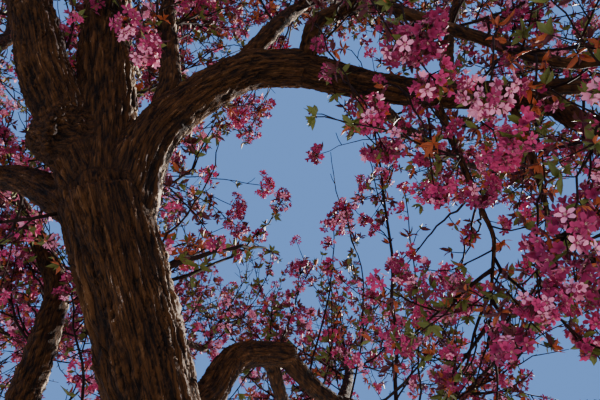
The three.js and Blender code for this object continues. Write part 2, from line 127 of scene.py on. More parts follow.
# Each limb by name, with its plan
LIMB_ROWS = (
    ("trunk", None, 0, (0, 0),
     ((0, 90, 0.3), (180, 86, 0.26), (-140, 84, 0.65), (-138, 74, 0.55), (-132, 70, 0.8))),
    ("leader", "trunk", 1, (0.265, 0.072),
     ((-154, 84, 0.46), (-98, 76, 0.52), (-86, 82, 0.71), (52, 78, 0.56)), (1.02, 45, 80), 2.6),
    ("left_limb", "trunk", 0.93, (0.225, 0.06),
     ((-146, 64, 0.59), (-118, 56, 0.3), (-110, 62, 0.32), (-142, 54, 0.71), (-154, 48, 0.54)),
     (1.05, -152, 42), 1.9),
    ("lopped_knob", "left_limb", 0.21, (0.27, 0.105), ((-178, 15, 0.105), (178, 55, 0.075))),
    ("right_bough", "trunk", 0.93, (0.225, 0.182),
     ((-26, 72, 0.48), (4, 52, 0.34), (4, 32, 0.29), (10, 4, 0.29))),
    ("right_bough_outer", "right_bough", 1, (0.172, 0.122),
     ((14, -20, 0.28), (8, -16, 0.38), (-2, -14, 0.4))),
    ("right_high_arm", "right_bough_outer", 1, (0.095, 0.045),
     ((-25, -20, 0.2), (15, 0, 0.49)), (0.95, 10, 22)),
    ("right_low_arm", "right_bough_outer", 0.93, (0.112, 0.048),
     ((-55, -55, 0.28), (-35, -65, 0.24), (-40, -15, 0.46)), (0.9, -18, -5)),
    ("upright_arm", "right_bough", 0.2, (0.125, 0.05),
     ((-25, 70, 0.47), (-110, 85, 0.29), (-85, 85, 0.39), (-35, 45, 0.82)), (1, -20, 48)),
    ("riser", "right_bough", 0.72, (0.098, 0.045),
     ((-10, 50, 0.36), (30, 60, 0.29), (20, 50, 0.31), (45, 35, 0.5)), (1, 55, 52)),
    ("arched_arm", "right_bough_outer", 0.03, (0.092, 0.066),
     ((-65, 35, 0.22), (-10, 20, 0.14), (-25, -15, 0.2))),
    ("arched_arm_outer", "arched_arm", 1, (0.058, 0.04),
     ((0, -50, 0.47), (-5, -40, 0.51), (-55, -5, 0.45)), (0.95, -60, 18)),
    ("slim_riser", "right_bough_outer", 0.7, (0.068, 0.038),
     ((-50, 70, 0.28), (-15, 65, 0.41), (-15, 50, 0.43)), (0.95, -5, 40)),
    ("hanging_arm", "right_bough_outer", 0.63, (0.046, 0.024),
     ((65, -85, 0.41), (-20, -90, 0.31)), (0.6, 140, -75)),
    ("outer_hanging_arm", "right_bough_outer", 0.95, (0.044, 0.024),
     ((-145, -80, 0.37), (75, -50, 0.27)), (0.65, 45, -35)),
    ("right_rear_bough", "right_bough_outer", 0.3, (0.08, 0.042),
     ((60, 15, 0.63), (45, 5, 0.89)), (1.05, 48, 18)),
    ("low_bough", "trunk", 0.64, (0.128, 0.112), ((65, 35, 0.31), (50, 50, 0.22), (45, 10, 0.32))),
    ("low_bough_outer", "low_bough", 1, (0.098, 0.048), ((55, -30, 0.36), (35, -5, 0.62)), (0.9, 28, 20)),
    ("low_spur", "low_bough", 0.85, (0.07, 0.042), ((85, -30, 0.29), (90, 10, 0.55)), (0.75, 105, 0)),
    ("rear_right_bough", "low_bough_outer", 0.45, (0.066, 0.04),
     ((80, 30, 0.58), (90, 20, 0.65)), (0.95, 72, 33)),
    ("left_low_bough", "trunk", 0.9, (0.178, 0.055),
     ((-175, 50, 0.39), (165, 35, 0.52), (170, 10, 0.97)), (1, 170, 22)),
    ("left_front_bough", "left_low_bough", 0.45, (0.08, 0.045),
     ((-150, 10, 0.65), (-130, 0, 0.68)), (1, -143, 8)),
    ("rear_left_foot", "trunk", 0.44, (0.175, 0.165), ((150, 25, 0.42), (165, 34, 0.5), (175, 64, 0.36))),
    ("rear_left_bough", "rear_left_foot", 1, (0.15, 0.055),
     ((5, 80, 0.36), (120, 82, 0.24), (-165, 62, 0.48), (140, 45, 0.6)), (1, 138, 40)),
    ("rear_left_low_arm", "rear_left_bough", 0.25, (0.08, 0.045),
     ((120, 15, 0.54), (125, 10, 0.51)), (1, 130, 20)),
    ("rear_low_bough", "trunk", 0.8, (0.115, 0.05),
     ((115, 25, 0.88), (100, 15, 0.83), (75, 5, 0.52)), (1, 78, 33)),
    ("rear_bough", "leader", 0.25, (0.125, 0.055), ((115, 25, 0.89), (105, 30, 1.15)), (1.05, 112, 32)),
    ("rear_upper_bough", "leader", 0.6, (0.095, 0.05), ((110, 35, 0.87), (105, 35, 0.61)), (1, 110, 58)),
    ("left_rear_bough", "left_limb", 0.55, (0.095, 0.05),
     ((130, 30, 0.74), (150, 25, 0.74)), (1.05, 156, 38)),
    ("front_left_bough", "left_limb", 0.7, (0.09, 0.048),
     ((-105, -5, 0.71), (-125, -20, 0.51)), (1, -120, -8)),
    ("front_bough", "leader", 0.65, (0.11, 0.06), ((-65, 30, 0.66), (-70, 10, 0.59)), (1.05, -75, 42)),
    ("front_low_bough", "front_bough", 0.85, (0.066, 0.042),
     ((-70, -25, 0.64), (-85, -45, 0.64)), (1, -88, -42)),
    ("front_right_bough", "upright_arm", 0.75, (0.07, 0.044),
     ((-55, 5, 0.87), (-40, -15, 0.77)), (1.05, -40, 6)),
)
LIMBS = {name: LimbPlan(*row) for name, *row in LIMB_ROWS}

# The trunk: diameters at shares of its height, and the roots' flare at the foot
TRUNK_GIRTH = ((0, 0.43), (0.06, 0.38), (0.16, 0.33), (0.35, 0.306), (0.68, 0.3), (0.84, 0.318), (1, 0.352))
ROOT_LOBES = 5
ROOT_LOBE_DEPTH = 0.2
ROOT_FLARE_SHARE = 0.12

# A limb starts a little back inside its parent's end, and swells in a collar at a fork
END_LAP = 0.04
COLLAR_SWELL = 0.22
COLLAR_LENGTHS = 1.1

# The space of one mass, and how clear its twigs stay of the wood
SPACE_GAP = 0.006
SPACE_FLATNESS = 0.86
LIMB_CLEARANCE = 0.012
WOOD_STEP = 0.12
WOOD_LEAST = 3
ROOT_FREE = 0.09

# The stem of a mass goes on from its limb, then turns to the middle of the mass and beyond
STEM_STRAIGHT = 0.18
STEM_ONWARD = 0.62
STEM_GIRTH_SHARES = (0.9, 0.32)

# First twigs stand round the stem by the golden angle, and the last one carries the stem on
TWIG_COUNT = 5
TWIG_SPREAD = (0.3, 0.92)
TWIG_END = 0.97
TWIG_PITCH = 62
TWIG_PITCH_SPREAD = 24
TWIG_PITCH_FALL = 22
TWIG_END_PITCH = 8
TWIG_TURN_SPREAD = 40
MASS_TURN = 67
TWIG_REACH_SHARE = 0.62
TWIG_LONGEST = 0.82
TWIG_RADIUS = 0.01
TWIG_SHORTENING = 0.75
TRIES = 4

# The crown is seen from head height in front of the trunk
LOOKOUT = np.array([0.42, -1.8, 1.3])


def direction(heading: float, rise: float) -> Array:
    """Return the unit vector at a heading from +X round +Z and a rise above level."""
    h, r = math.radians(heading), math.radians(rise)
    return np.array([math.cos(h) * math.cos(r), math.sin(h) * math.cos(r), math.sin(r)])


def cross(a: Array, b: Array) -> Array:
    """Return the cross product of two single vectors."""
    return np.array([a[1] * b[2] - a[2] * b[1], a[2] * b[0] - a[0] * b[2], a[0] * b[1] - a[1] * b[0]])


def unit(vector: Array) -> Array:
    """Return a vector at length one."""
    return vector / math.sqrt(vector @ vector)


def square_to(axis: Array) -> Array:
    """Return a unit vector square to an axis, always the same for the same axis."""
    return unit(cross(UP if abs(axis[2]) < 0.9 else np.array([1.0, 0.0, 0.0]), axis))


def leaning(axis: Array, pitch: float, turn: float) -> Array:
    """Return the direction that leans away from an axis.

    Args:
        axis: the unit vector that it leans from.
        pitch: how far it leans.
        turn: which way it leans, round the axis.

    Returns:
        A unit vector.
    """
    side = square_to(axis)
    a, p = math.radians(turn), math.radians(pitch)
    return axis * math.cos(p) + (side * math.cos(a) + cross(axis, side) * math.sin(a)) * math.sin(p)


def lerp(low: float, high: float, share: float | Array) -> float | Array:
    """Return the value at a share of the way from low to high."""
    return low + (high - low) * share


class Seeded:
    """A small seeded source of numbers from 0 to 1, the one that the solids grow by."""

    MASK = 0xFFFFFFFF
    STEP = 0x6D2B79F5

    def __init__(self, seed: int) -> None:
        """Start from a seed."""
        self.state = seed & self.MASK

    def __call__(self) -> float:
        """Stir the state.

        Returns:
            The next number.
        """
        self.state = (self.state + self.STEP) & self.MASK
        t = ((self.state ^ (self.state >> 15)) * (1 | self.state)) & self.MASK
        t = ((t + (t ^ (t >> 7)) * (61 | t)) & self.MASK) ^ t
        return (t ^ (t >> 14)) / 2**32


class SmoothLine:
    """A centripetal Catmull-Rom line through points, read by share of its length."""

    DIVISIONS = 200
    TANGENT_STEP = 1e-4

    def __init__(self, points: Sequence[Array]) -> None:
        """Measure the line.

        Args:
            points: what it runs through.
        """
        p = np.asarray(points, float)
        self.padded = np.vstack([2 * p[0] - p[1], p, 2 * p[-1] - p[-2]])
        self.spans = len(p) - 1
        self.knots = np.linspace(0, 1, self.DIVISIONS + 1)
        self.run = run_along(self._place(self.knots))
        self.length = float(self.run[-1])

    def _place(self, t: Array) -> Array:
        """Place points by the line's own parameter.

        Args:
            t: its values, from 0 to 1.

        Returns:
            The points.
        """
        span = np.minimum((t * self.spans).astype(int), self.spans - 1)
        w = (t * self.spans - span)[:, None]
        p0, p1, p2, p3 = (self.padded[span + i] for i in range(4))
        pairs = ((p0, p1), (p1, p2), (p2, p3))
        d0, d1, d2 = (np.sqrt(lengths(b - a))[:, None] for a, b in pairs)
        t1 = ((p1 - p0) / d0 - (p2 - p0) / (d0 + d1) + (p2 - p1) / d1) * d1
        t2 = ((p2 - p1) / d1 - (p3 - p1) / (d1 + d2) + (p3 - p2) / d2) * d1
        return p1 + w * (t1 + w * (3 * (p2 - p1) - 2 * t1 - t2 + w * (2 * (p1 - p2) + t1 + t2)))

    def _knot(self, share: float | Array) -> Array:
        """Return the line's own parameter at shares of its length."""
        return np.interp(np.atleast_1d(share) * self.length, self.run, self.knots)

    def many(self, shares: Array) -> Array:
        """Return the points at several shares."""
        return self._place(self._knot(shares))

    def at(self, share: float) -> Array:
        """Return the point at a share."""
        return self.many(share)[0]

    def axes(self, shares: Array) -> Array:
        """Find the way of the line.

        Args:
            shares: where along it.

        Returns:
            The unit tangents there.
        """
        knot = self._knot(shares)
        ahead = self._place(np.minimum(knot + self.TANGENT_STEP, 1))
        behind = self._place(np.maximum(knot - self.TANGENT_STEP, 0))
        return units(ahead - behind)

    def axis(self, share: float) -> Array:
        """Return the unit tangent at a share."""
        return self.axes(share)[0]


@dataclass
class Limb:
    """One limb: its smooth line and its girth along that line."""

    name: str
    plan: LimbPlan
    parent: Limb | None  # the limb that it springs from

    def __post_init__(self) -> None:
        """Lay the limb out from its parent."""
        plan, parent = self.plan, self.parent
        points = [parent.line.at(plan.share) if parent else np.zeros(3)]
        for heading, rise, length in plan.spans:
            points.append(points[-1] + direction(heading, rise) * length)
        if parent and plan.share == 1:
            points[0] = points[0] - parent.line.axis(1) * END_LAP
        self.line = SmoothLine(points)

    def radius(self, share: float | Array) -> Array:
        """Return the radii along the limb, the collar at its fork included.

        Args:
            share: shares of its length.

        Returns:
            A radius for each.
        """
        share = np.asarray(share, float)
        if self.parent is None:
            return np.interp(share, *zip(*TRUNK_GIRTH)) / 2
        base, tip = self.plan.girth
        taper = base + (tip - base) * share**self.plan.thick
        swell = 0 if self.plan.share == 1 else COLLAR_SWELL
        fade = np.exp(-share * self.line.length / (COLLAR_LENGTHS * base))
        return taper * (1 + swell * fade) / 2

    def heart(self) -> Array:
        """Return the middle of the limb's foliage."""
        reach, heading, rise = self.plan.mass
        return self.line.at(1) + direction(heading, rise) * reach / 2

    def stem(self) -> SmoothLine:
        """Carry the limb on into its foliage.

        Returns:
            The line of that stem.
        """
        reach = self.plan.mass[0]
        tip, axis = self.line.at(1), self.line.axis(1)
        bend = tip + axis * reach * STEM_STRAIGHT
        top = bend + unit(self.heart() - bend) * reach * STEM_ONWARD
        return SmoothLine([tip, bend, (bend + top) / 2, top])


def all_limbs() -> dict[str, Limb]:
    """Lay out the plan.

    Returns:
        Every limb by name.
    """
    limbs: dict[str, Limb] = {}
    for name, plan in LIMBS.items():
        limbs[name] = Limb(name, plan, limbs.get(plan.parent))
    return limbs


class Noise:
    """Smooth seeded noise from about -1 to 1."""

    CELLS = 256
    GAIN = 1.6

    def __init__(self, seed: int) -> None:
        """Shuffle the lattice and deal its slopes.

        Args:
            seed: seed of both.
        """
        rng = np.random.default_rng(seed)
        order = rng.permutation(self.CELLS)
        self.table = np.concatenate([order, order])
        self.slopes = units(rng.normal(size=(self.CELLS, 3)))

    def __call__(self, points: Array) -> Array:
        """Read the noise.

        Args:
            points: rows of three coordinates.

        Returns:
            Its value at each.
        """
        floor = np.floor(points)
        local = points - floor
        cell = floor.astype(int)
        fade = local**3 * (local * (local * 6 - 15) + 10)
        total = np.zeros(len(points))
        for corner in np.ndindex(2, 2, 2):
            at = (cell + corner) & (self.CELLS - 1)
            slope = self.slopes[self.table[self.table[self.table[at[:, 0]] + at[:, 1]] + at[:, 2]]]
            weight = np.prod(np.where(corner, fade, 1 - fade), axis=1)
            total += weight * np.einsum("ij,ij->i", slope, local - corner)
        return total * self.GAIN


@dataclass
class Track:
    """Stations along a line, with a pair of vectors across it that never twists."""

    middle: Array  # points on the line
    axis: Array  # unit tangents there
    radius: Array  # radii there of what follows the line

    SLACK = 0.03
    BATCH = 8192

    def __post_init__(self) -> None:
        """Carry the pair of vectors along, and measure the line."""
        self.side = np.empty_like(self.middle)
        last = square_to(self.axis[0])
        for i, way in enumerate(self.axis):
            last = unit(last - way * (last @ way))
            self.side[i] = last
        self.across = np.cross(self.axis, self.side)
        self.run = run_along(self.middle)

    @classmethod
    def of_limb(cls, limb: Limb, step: float) -> Track:
        """Lay stations along a limb.

        Args:
            limb: the limb.
            step: about how far apart they are.

        Returns:
            The track.
        """
        shares = np.linspace(0, 1, max(4, round(limb.line.length / step)) + 1)
        axis = limb.line.axes(shares)
        if limb.parent is None:
            axis[0] = UP
        return cls(limb.line.many(shares), axis, limb.radius(shares))

    def places(self, points: Array) -> tuple[Array, Array]:
        """Say where points lie on this track.

        Args:
            points: rows of three coordinates.

        Returns:
            Four rows, which are the points' distances to the side, across and along, and the radii there;
            and how far outside the surface they lie.
        """
        nearest = np.empty(len(points), int)
        for start in range(0, len(points), self.BATCH):
            part = points[start : start + self.BATCH]
            gap = (part**2).sum(1)[:, None] - 2 * part @ self.middle.T + (self.middle**2).sum(1)
            nearest[start : start + self.BATCH] = gap.argmin(1)
        off = points - self.middle[nearest]
        ahead = np.einsum("ij,ij->i", off, self.axis[nearest])
        off -= ahead[:, None] * self.axis[nearest]
        side = np.einsum("ij,ij->i", off, self.side[nearest])
        across = np.einsum("ij,ij->i", off, self.across[nearest])
        run = self.run[nearest] + np.clip(ahead, -self.SLACK, self.SLACK)
        beyond = np.maximum(0, np.abs(ahead) - self.SLACK)
        radius = self.radius[nearest]
        return np.array([side, across, run, radius]), np.hypot(side, across) - radius + beyond


@dataclass(frozen=True)
class BarkRelief:
    """Upright plates of bark between long wandering fissures, with scales on the plates."""

    plate_least: float = 0.011  # width of a plate on the thinnest limb
    plate_share: float = 0.14  # what each metre of radius adds to that width
    stretch: float = 10  # how much longer a plate is than wide
    crack: float = 0.16  # how wide a fissure is, as a share of the noise that draws it
    fine_crack: float = 1.3  # how much wider the fine ones are drawn
    wander: float = 0.5  # how far the fissures wander
    wander_grain: float = 0.45  # how often they do, for each plate
    fine_grain: Triple = (1.9, 1.9, 1.5)  # how many fine fissures there are for each plate, across and along
    scale_grain: Triple = (2.6, 2.6, 4.5)  # how many scales, likewise
    cuts: Pair = (0.62, 0.38)  # how deep the main fissures and the fine ones cut, as shares of the depth
    bed: float = 0.75  # height of the bark that counts as the limb's own surface
    depth_share: float = 0.13  # depth of a fissure as a share of the radius
    depth_most: float = 0.02  # depth of the deepest fissure
    scale_share: float = 0.85  # height of the scales as a share of the depth
    flute_share: float = 0.12  # depth of the broad flutes as a share of the radius
    flute_size: Pair = (1.1, 5)  # width and length of a flute in radii
    tone: Pair = (0.8, 0.5)  # how pale a plate is, and how much its scales vary that
    # Where in the noise each pattern is taken from, so that none follows another
    apart: Colour = (11.3, 5.1, 29.7, 3.7)
    noise: Noise = field(default_factory=lambda: Noise(41))
    flutes: Noise = field(default_factory=lambda: Noise(43))

    def _cut(self, grid: Array, width: float) -> Array:
        """Return the height of bark with fissures of a width, from 0 in one to 1 off it."""
        return 1 - np.exp(-((self.noise(grid) / width) ** 2))

    def shape(self, at: Array) -> tuple[Array, Array]:
        """Shape the bark at some places.

        Args:
            at: distances to the side, across and along the limb, and radii, as four rows.

        Returns:
            How far each point stands out, and its height from 0 in a fissure to 1 on a plate.
        """
        side, across, run, radius = at
        wander_at, fine_at, scale_at, flute_at = self.apart
        width = self.plate_least + self.plate_share * radius
        grid = np.column_stack([side / width, across / width, run / (width * self.stretch)])
        grid += self.wander * self.noise(grid * self.wander_grain + wander_at)[:, None] * (1, 1, 0)
        fine = self._cut(grid * self.fine_grain + fine_at, self.crack * self.fine_crack)
        height = np.clip(self.cuts[0] * self._cut(grid, self.crack) + self.cuts[1] * fine, 0, 1)
        scales = self.noise(grid * self.scale_grain + scale_at)
        broad = radius * self.flute_size[0]
        flute = np.column_stack([side / broad, across / broad, run / (broad * self.flute_size[1])])
        depth = np.minimum(self.depth_most, self.depth_share * radius)
        out = depth * (height - self.bed + self.scale_share * scales)
        out += self.flute_share * radius * self.flutes(flute + flute_at)
        return out, np.clip(height * (self.tone[0] + self.tone[1] * scales), 0, 1)


def fill(items: bpy.types.bpy_prop_collection, key: str, rows: Array, kind: type = np.float32) -> None:
    """Add an item to a mesh for each row of numbers, and set that property of them all."""
    items.add(len(rows))
    items.foreach_set(key, rows.astype(kind).ravel())


def mesh_of(name: str, points: Array, faces: Array | None = None, smooth: bool = True) -> Mesh:
    """Make a mesh from arrays.

    Args:
        name: its name.
        points: rows of three coordinates.
        faces: rows of corner numbers, all of one length, if it has faces.
        smooth: whether its faces are shaded smooth.

    Returns:
        The mesh.
    """
    mesh = bpy.data.meshes.new(name)
    fill(mesh.vertices, "co", points)
    if faces is not None:
        fill(mesh.loops, "vertex_index", faces.reshape(-1, 1), np.int32)
        fill(mesh.polygons, "loop_start", np.arange(len(faces)) * faces.shape[1], np.int32)
        mesh.update(calc_edges=True)
        mesh.polygons.foreach_set("use_smooth", np.full(len(faces), smooth))
    return mesh


def give(mesh: Mesh, name: str, values: Array) -> None:
    """Store a value or a vector for each point of a mesh."""
    kind, key = ("FLOAT_VECTOR", "vector") if values.ndim == 2 else ("FLOAT", "value")
    mesh.attributes.new(name, kind, "POINT").data.foreach_set(key, values.astype(np.float32).ravel())


def placed(name: str, mesh: Mesh, *materials: Material) -> Object:
    """Put a mesh in the scene as an object at the origin.

    Args:
        name: the object's name.
        mesh: its mesh.
        materials: what is added to the mesh's materials.

    Returns:
        The object.
    """
    thing = bpy.data.objects.new(name, mesh)
    for material in materials:
        mesh.materials.append(material)
    bpy.context.scene.collection.objects.link(thing)
    return thing


def taken(thing: Object) -> Mesh:
    """Turn an object with modifiers into a plain mesh, and remove it.

    Args:
        thing: the object.

    Returns:
        Its evaluated mesh.
    """
    depsgraph = bpy.context.evaluated_depsgraph_get()
    mesh = bpy.data.meshes.new_from_object(thing.evaluated_get(depsgraph), depsgraph=depsgraph)
    thing.modifiers.clear()
    bpy.data.objects.remove(thing)
    return mesh


def rows_of(items: bpy.types.bpy_prop_collection, key: str) -> Array:
    """Read a vector of each point of a mesh.

    Args:
        items: the mesh's points or point normals.
        key: the property.

    Returns:
        Rows of three.
    """
    rows = np.empty(len(items) * 3, np.float32)
    items.foreach_get(key, rows)
    return rows.reshape(-1, 3).astype(float)


def tube(track: Track, sides: int, radii: Array) -> tuple[Array, Array]:
    """Sweep a closed tube along a track.

    Args:
        track: the stations.
        sides: points round each ring.
        radii: a radius for each point of each ring.

    Returns:
        The points, and the faces as triangles.
    """
    turn = np.arange(sides) * 2 * math.pi / sides
    out = track.side[:, None] * np.cos(turn)[:, None] + track.across[:, None] * np.sin(turn)[:, None]
    points = (track.middle[:, None] + out * radii[..., None]).reshape(-1, 3)
    ring, round_on = np.arange(sides), (np.arange(sides) + 1) % sides
    starts = np.arange(len(track.middle) - 1)[:, None] * sides
    here, beside = (starts + ring).ravel(), (starts + round_on).ravel()
    last = len(points) - sides
    foot, top = np.full(sides, len(points)), np.full(sides, len(points) + 1)
    walls = (here, beside, beside + sides), (here, beside + sides, here + sides)
    caps = (foot, round_on, ring), (top, last + ring, last + round_on)
    faces = np.vstack([np.column_stack(corners) for corners in (*walls, *caps)])
    return np.vstack([points, track.middle[[0, -1]]]), faces


def joined(parts: Iterable[tuple[Array, Array]]) -> tuple[Array, Array]:
    """Join shapes into one.

    Args:
        parts: the points and the faces of each.

    Returns:
        All points, and all faces.
    """
    points, faces, count = [], [], 0
    for some, their in parts:
        points.append(some)
        faces.append(their + count)
        count += len(some)
    return np.vstack(points), np.vstack(faces)


@dataclass
class MainBark:
    """The trunk and the great limbs as one skin of bark that flows through every fork."""

    limbs: dict[str, Limb]
    # The limbs that this skin covers
    names: tuple[str, ...] = (
        "trunk", "leader", "left_limb", "lopped_knob",
        "right_bough", "right_bough_outer", "low_bough", "left_low_bough",
    )
    voxel: float = 0.0104  # the grain of the skin
    ring_step: float = 0.03  # distance between rings of the tubes that it starts from
    sides: int = 40  # points round those rings
    fillet_passes: int = 9  # how often it is smoothed, which rounds the forks
    blend: float = 0.018  # how far a limb's pattern fades into its neighbour's
    least_weight: float = 0.03  # the least that a limb's pattern counts at a point, or not at all
    relief: BarkRelief = field(default_factory=BarkRelief)

    def _tubes(self) -> Mesh:
        """Lay out the plain tubes of the limbs, roots' flare included.

        Returns:
            Their mesh.
        """
        shapes = []
        lobes = np.cos(ROOT_LOBES * (np.arange(self.sides) * 2 * math.pi / self.sides))
        for name in self.names:
            limb = self.limbs[name]
            track = Track.of_limb(limb, self.ring_step)
            radii = np.repeat(track.radius[:, None], self.sides, axis=1)
            if limb.parent is None:
                fade = np.exp(-track.run / limb.line.length / ROOT_FLARE_SHARE)
                radii = radii * (1 + ROOT_LOBE_DEPTH * fade[:, None] * lobes)
            shapes.append(tube(track, self.sides, radii))
        return mesh_of("plain_limbs", *joined(shapes))

    def _skin(self) -> Mesh:
        """Draw one even skin round all the tubes, its creases rounded.

        Returns:
            Its mesh.
        """
        thing = placed("limb_skin", self._tubes())
        remesh = thing.modifiers.new("Skin", "REMESH")
        remesh.mode = "VOXEL"
        remesh.voxel_size = self.voxel
        fillet = thing.modifiers.new("Fillet", "SMOOTH")
        fillet.factor = 0.5
        fillet.iterations = self.fillet_passes
        return taken(thing)

    def build(self, material: Material) -> Object:
        """Build the skin with its relief.

        Args:
            material: the bark.

        Returns:
            The finished piece.
        """
        mesh = self._skin()
        points = rows_of(mesh.vertices, "co")
        found = [Track.of_limb(self.limbs[name], self.voxel).places(points) for name in self.names]
        outside = np.array([gap for _, gap in found])
        weights = np.exp(-(outside - outside.min(0)) / self.blend)
        weights[weights < self.least_weight] = 0
        weights /= weights.sum(0)
        out, height, grain = np.zeros(len(points)), np.zeros(len(points)), np.zeros((len(points), 3))
        for i, (at, _) in enumerate(found):
            on = weights[i] > 0
            stands, rises = self.relief.shape(at[:, on])
            out[on] += weights[i, on] * stands
            height[on] += weights[i, on] * rises
            mine = on & (weights[i] >= weights.max(0))
            grain[mine] = at[:3, mine].T + (0, 0, i)
        foot = points[:, 2] < self.voxel
        points += rows_of(mesh.vertex_normals, "vector") * out[:, None] * ~foot[:, None]
        points[foot, 2] = 0
        points[:, 2] = np.maximum(points[:, 2], 0)
        mesh.vertices.foreach_set("co", points.astype(np.float32).ravel())
        mesh.polygons.foreach_set("use_smooth", np.full(len(mesh.polygons), True))
        give(mesh, "relief", height)
        give(mesh, "grain", grain)
        mesh.update()
        return placed("main_bark", mesh, material)


@dataclass
class LimbBark:
    """The slimmer limbs, each a tube of bark that runs on as the stem of its foliage."""

    limbs: dict[str, Limb]
    covered: tuple[str, ...]  # the limbs that have their bark already, of which only stems are left
    ring_step: float = 0.0155  # distance between rings on a limb
    stem_step: float = 0.02  # distance between rings on a stem
    face: float = 0.0125  # width of a face round a limb
    collar_rings: int = 6  # rings from the base to where the widest one is measured
    least_sides: int = 9  # points round the slimmest tube
    lap: float = 0.06  # how far a lone stem starts back inside its limb
    relief: BarkRelief = field(default_factory=BarkRelief)

    def _track(self, limb: Limb) -> Track:
        """Lay stations along a limb and the stem at its tip.

        Args:
            limb: the limb.

        Returns:
            The track.
        """
        parts = []
        if limb.name in self.covered:
            share = np.array([1 - self.lap / limb.line.length])
            parts.append((limb.line, share, limb.radius(share) * STEM_GIRTH_SHARES[0]))
        else:
            shares = np.linspace(0, 1, round(limb.line.length / self.ring_step) + 1)
            parts.append((limb.line, shares, limb.radius(shares)))
        if limb.plan.mass:
            stem = limb.stem()
            shares = np.linspace(0, 1, round(stem.length / self.stem_step) + 1)[1:]
            parts.append((stem, shares, limb.radius(1) * lerp(*STEM_GIRTH_SHARES, shares)))
        middle, axis, radius = zip(*((line.many(at), line.axes(at), radii) for line, at, radii in parts))
        return Track(np.vstack(middle), np.vstack(axis), np.concatenate(radius))

    def build(self, material: Material) -> Object:
        """Build all the tubes with their relief.

        Args:
            material: the bark.

        Returns:
            The finished piece.
        """
        shapes, heights, grains = [], [], []
        for i, limb in enumerate(self.limbs.values()):
            if limb.name in self.covered and not limb.plan.mass:
                continue
            track = self._track(limb)
            widest = track.radius[min(self.collar_rings, len(track.radius) - 1)]
            sides = max(self.least_sides, round(2 * math.pi * widest / self.face))
            turn = np.tile(np.arange(sides) * 2 * math.pi / sides, len(track.run))
            radius, run = np.repeat(track.radius, sides), np.repeat(track.run, sides)
            at = np.array([radius * np.cos(turn), radius * np.sin(turn), run + i, radius])
            stands, rises = self.relief.shape(at)
            shapes.append(tube(track, sides, (radius + stands).reshape(-1, sides)))
            heights.append(np.concatenate([rises, [0.5, 0.5]]))
            grains.append(np.vstack([at[:3].T, [[0, 0, i], [0, 0, i + track.run[-1]]]]))
        mesh = mesh_of("limb_bark", *joined(shapes))
        give(mesh, "relief", np.concatenate(heights))
        give(mesh, "grain", np.vstack(grains))
        return placed("limb_bark", mesh, material)


@dataclass(frozen=True)
class Window:
    """A gap in the crown where the sky shows from the lookout, with an edge that wanders."""

    way: Pair  # heading and rise of its middle
    size: Pair  # half angles across it and up it
    lean: Pair = (0.1, 0)  # how far its middle leans, as a share of its size, and towards which turn
    ripple: float = 0.14  # how far its edge ripples, as a share of its size
    most: float = 1.36  # greatest share of its size that its edge reaches

    def holds(self, points: Array) -> bool:
        """Look at some points from the lookout.

        Args:
            points: rows of three coordinates.

        Returns:
            Whether any of them lies in the window.
        """
        axis = direction(*self.way)
        right = unit(cross(axis, UP))
        sight = points - LOOKOUT
        ahead = sight @ axis
        across = np.degrees(np.arctan2(sight @ right, ahead)) / self.size[0]
        above = np.degrees(np.arctan2(sight @ cross(right, axis), ahead)) / self.size[1]
        turn = np.arctan2(above, across)
        lean, towards = self.lean
        edge = 1 - lean * np.cos(turn - math.radians(towards)) + self.ripple * np.sin(4 * turn)
        return bool((np.hypot(across, above) < np.minimum(edge, self.most)).any())


# The open lane, which the solid crown keeps clear too, and smaller windows round it
WINDOWS = (
    Window((94, 40), (6.6, 6.6), (0.48, 115), 0.12),
    Window((69.5, 27.5), (6.2, 2.9), ripple=0.2),
    Window((104, 15.5), (1.5, 3.2), ripple=0.1),
    Window((64, 10.5), (3.5, 1.8)),
    Window((76, 52), (2.6, 2.6), ripple=0.2),
)


@dataclass
class OpenBoughs:
    """The long bough to the right and the low one, which stay in sight from the lookout."""

    limbs: dict[str, Limb]
    names: tuple[str, ...] = ("right_bough", "right_bough_outer", "low_bough")
    points: int = 40  # how many are looked at along each
    margin: float = 0.5  # how much wider than it looks a bough is kept open, as an angle

    def __post_init__(self) -> None:
        """Note the way to each part of the boughs, how far off it is and how wide it looks."""
        shares = np.linspace(0, 1, self.points)
        sight = np.vstack([self.limbs[name].line.many(shares) for name in self.names]) - LOOKOUT
        radii = np.concatenate([self.limbs[name].radius(shares) for name in self.names])
        self.far, self.ways = lengths(sight), units(sight)
        self.wide = np.cos(np.arcsin(radii / self.far) + math.radians(self.margin))

    def hidden_by(self, points: Array) -> bool:
        """Look past some points from the lookout.

        Args:
            points: rows of three coordinates.

        Returns:
            Whether any of them would stand before the boughs.
        """
        sight = points - LOOKOUT
        far = lengths(sight)[:, None]
        return bool(((sight @ self.ways.T / far > self.wide) & (far < self.far)).any())


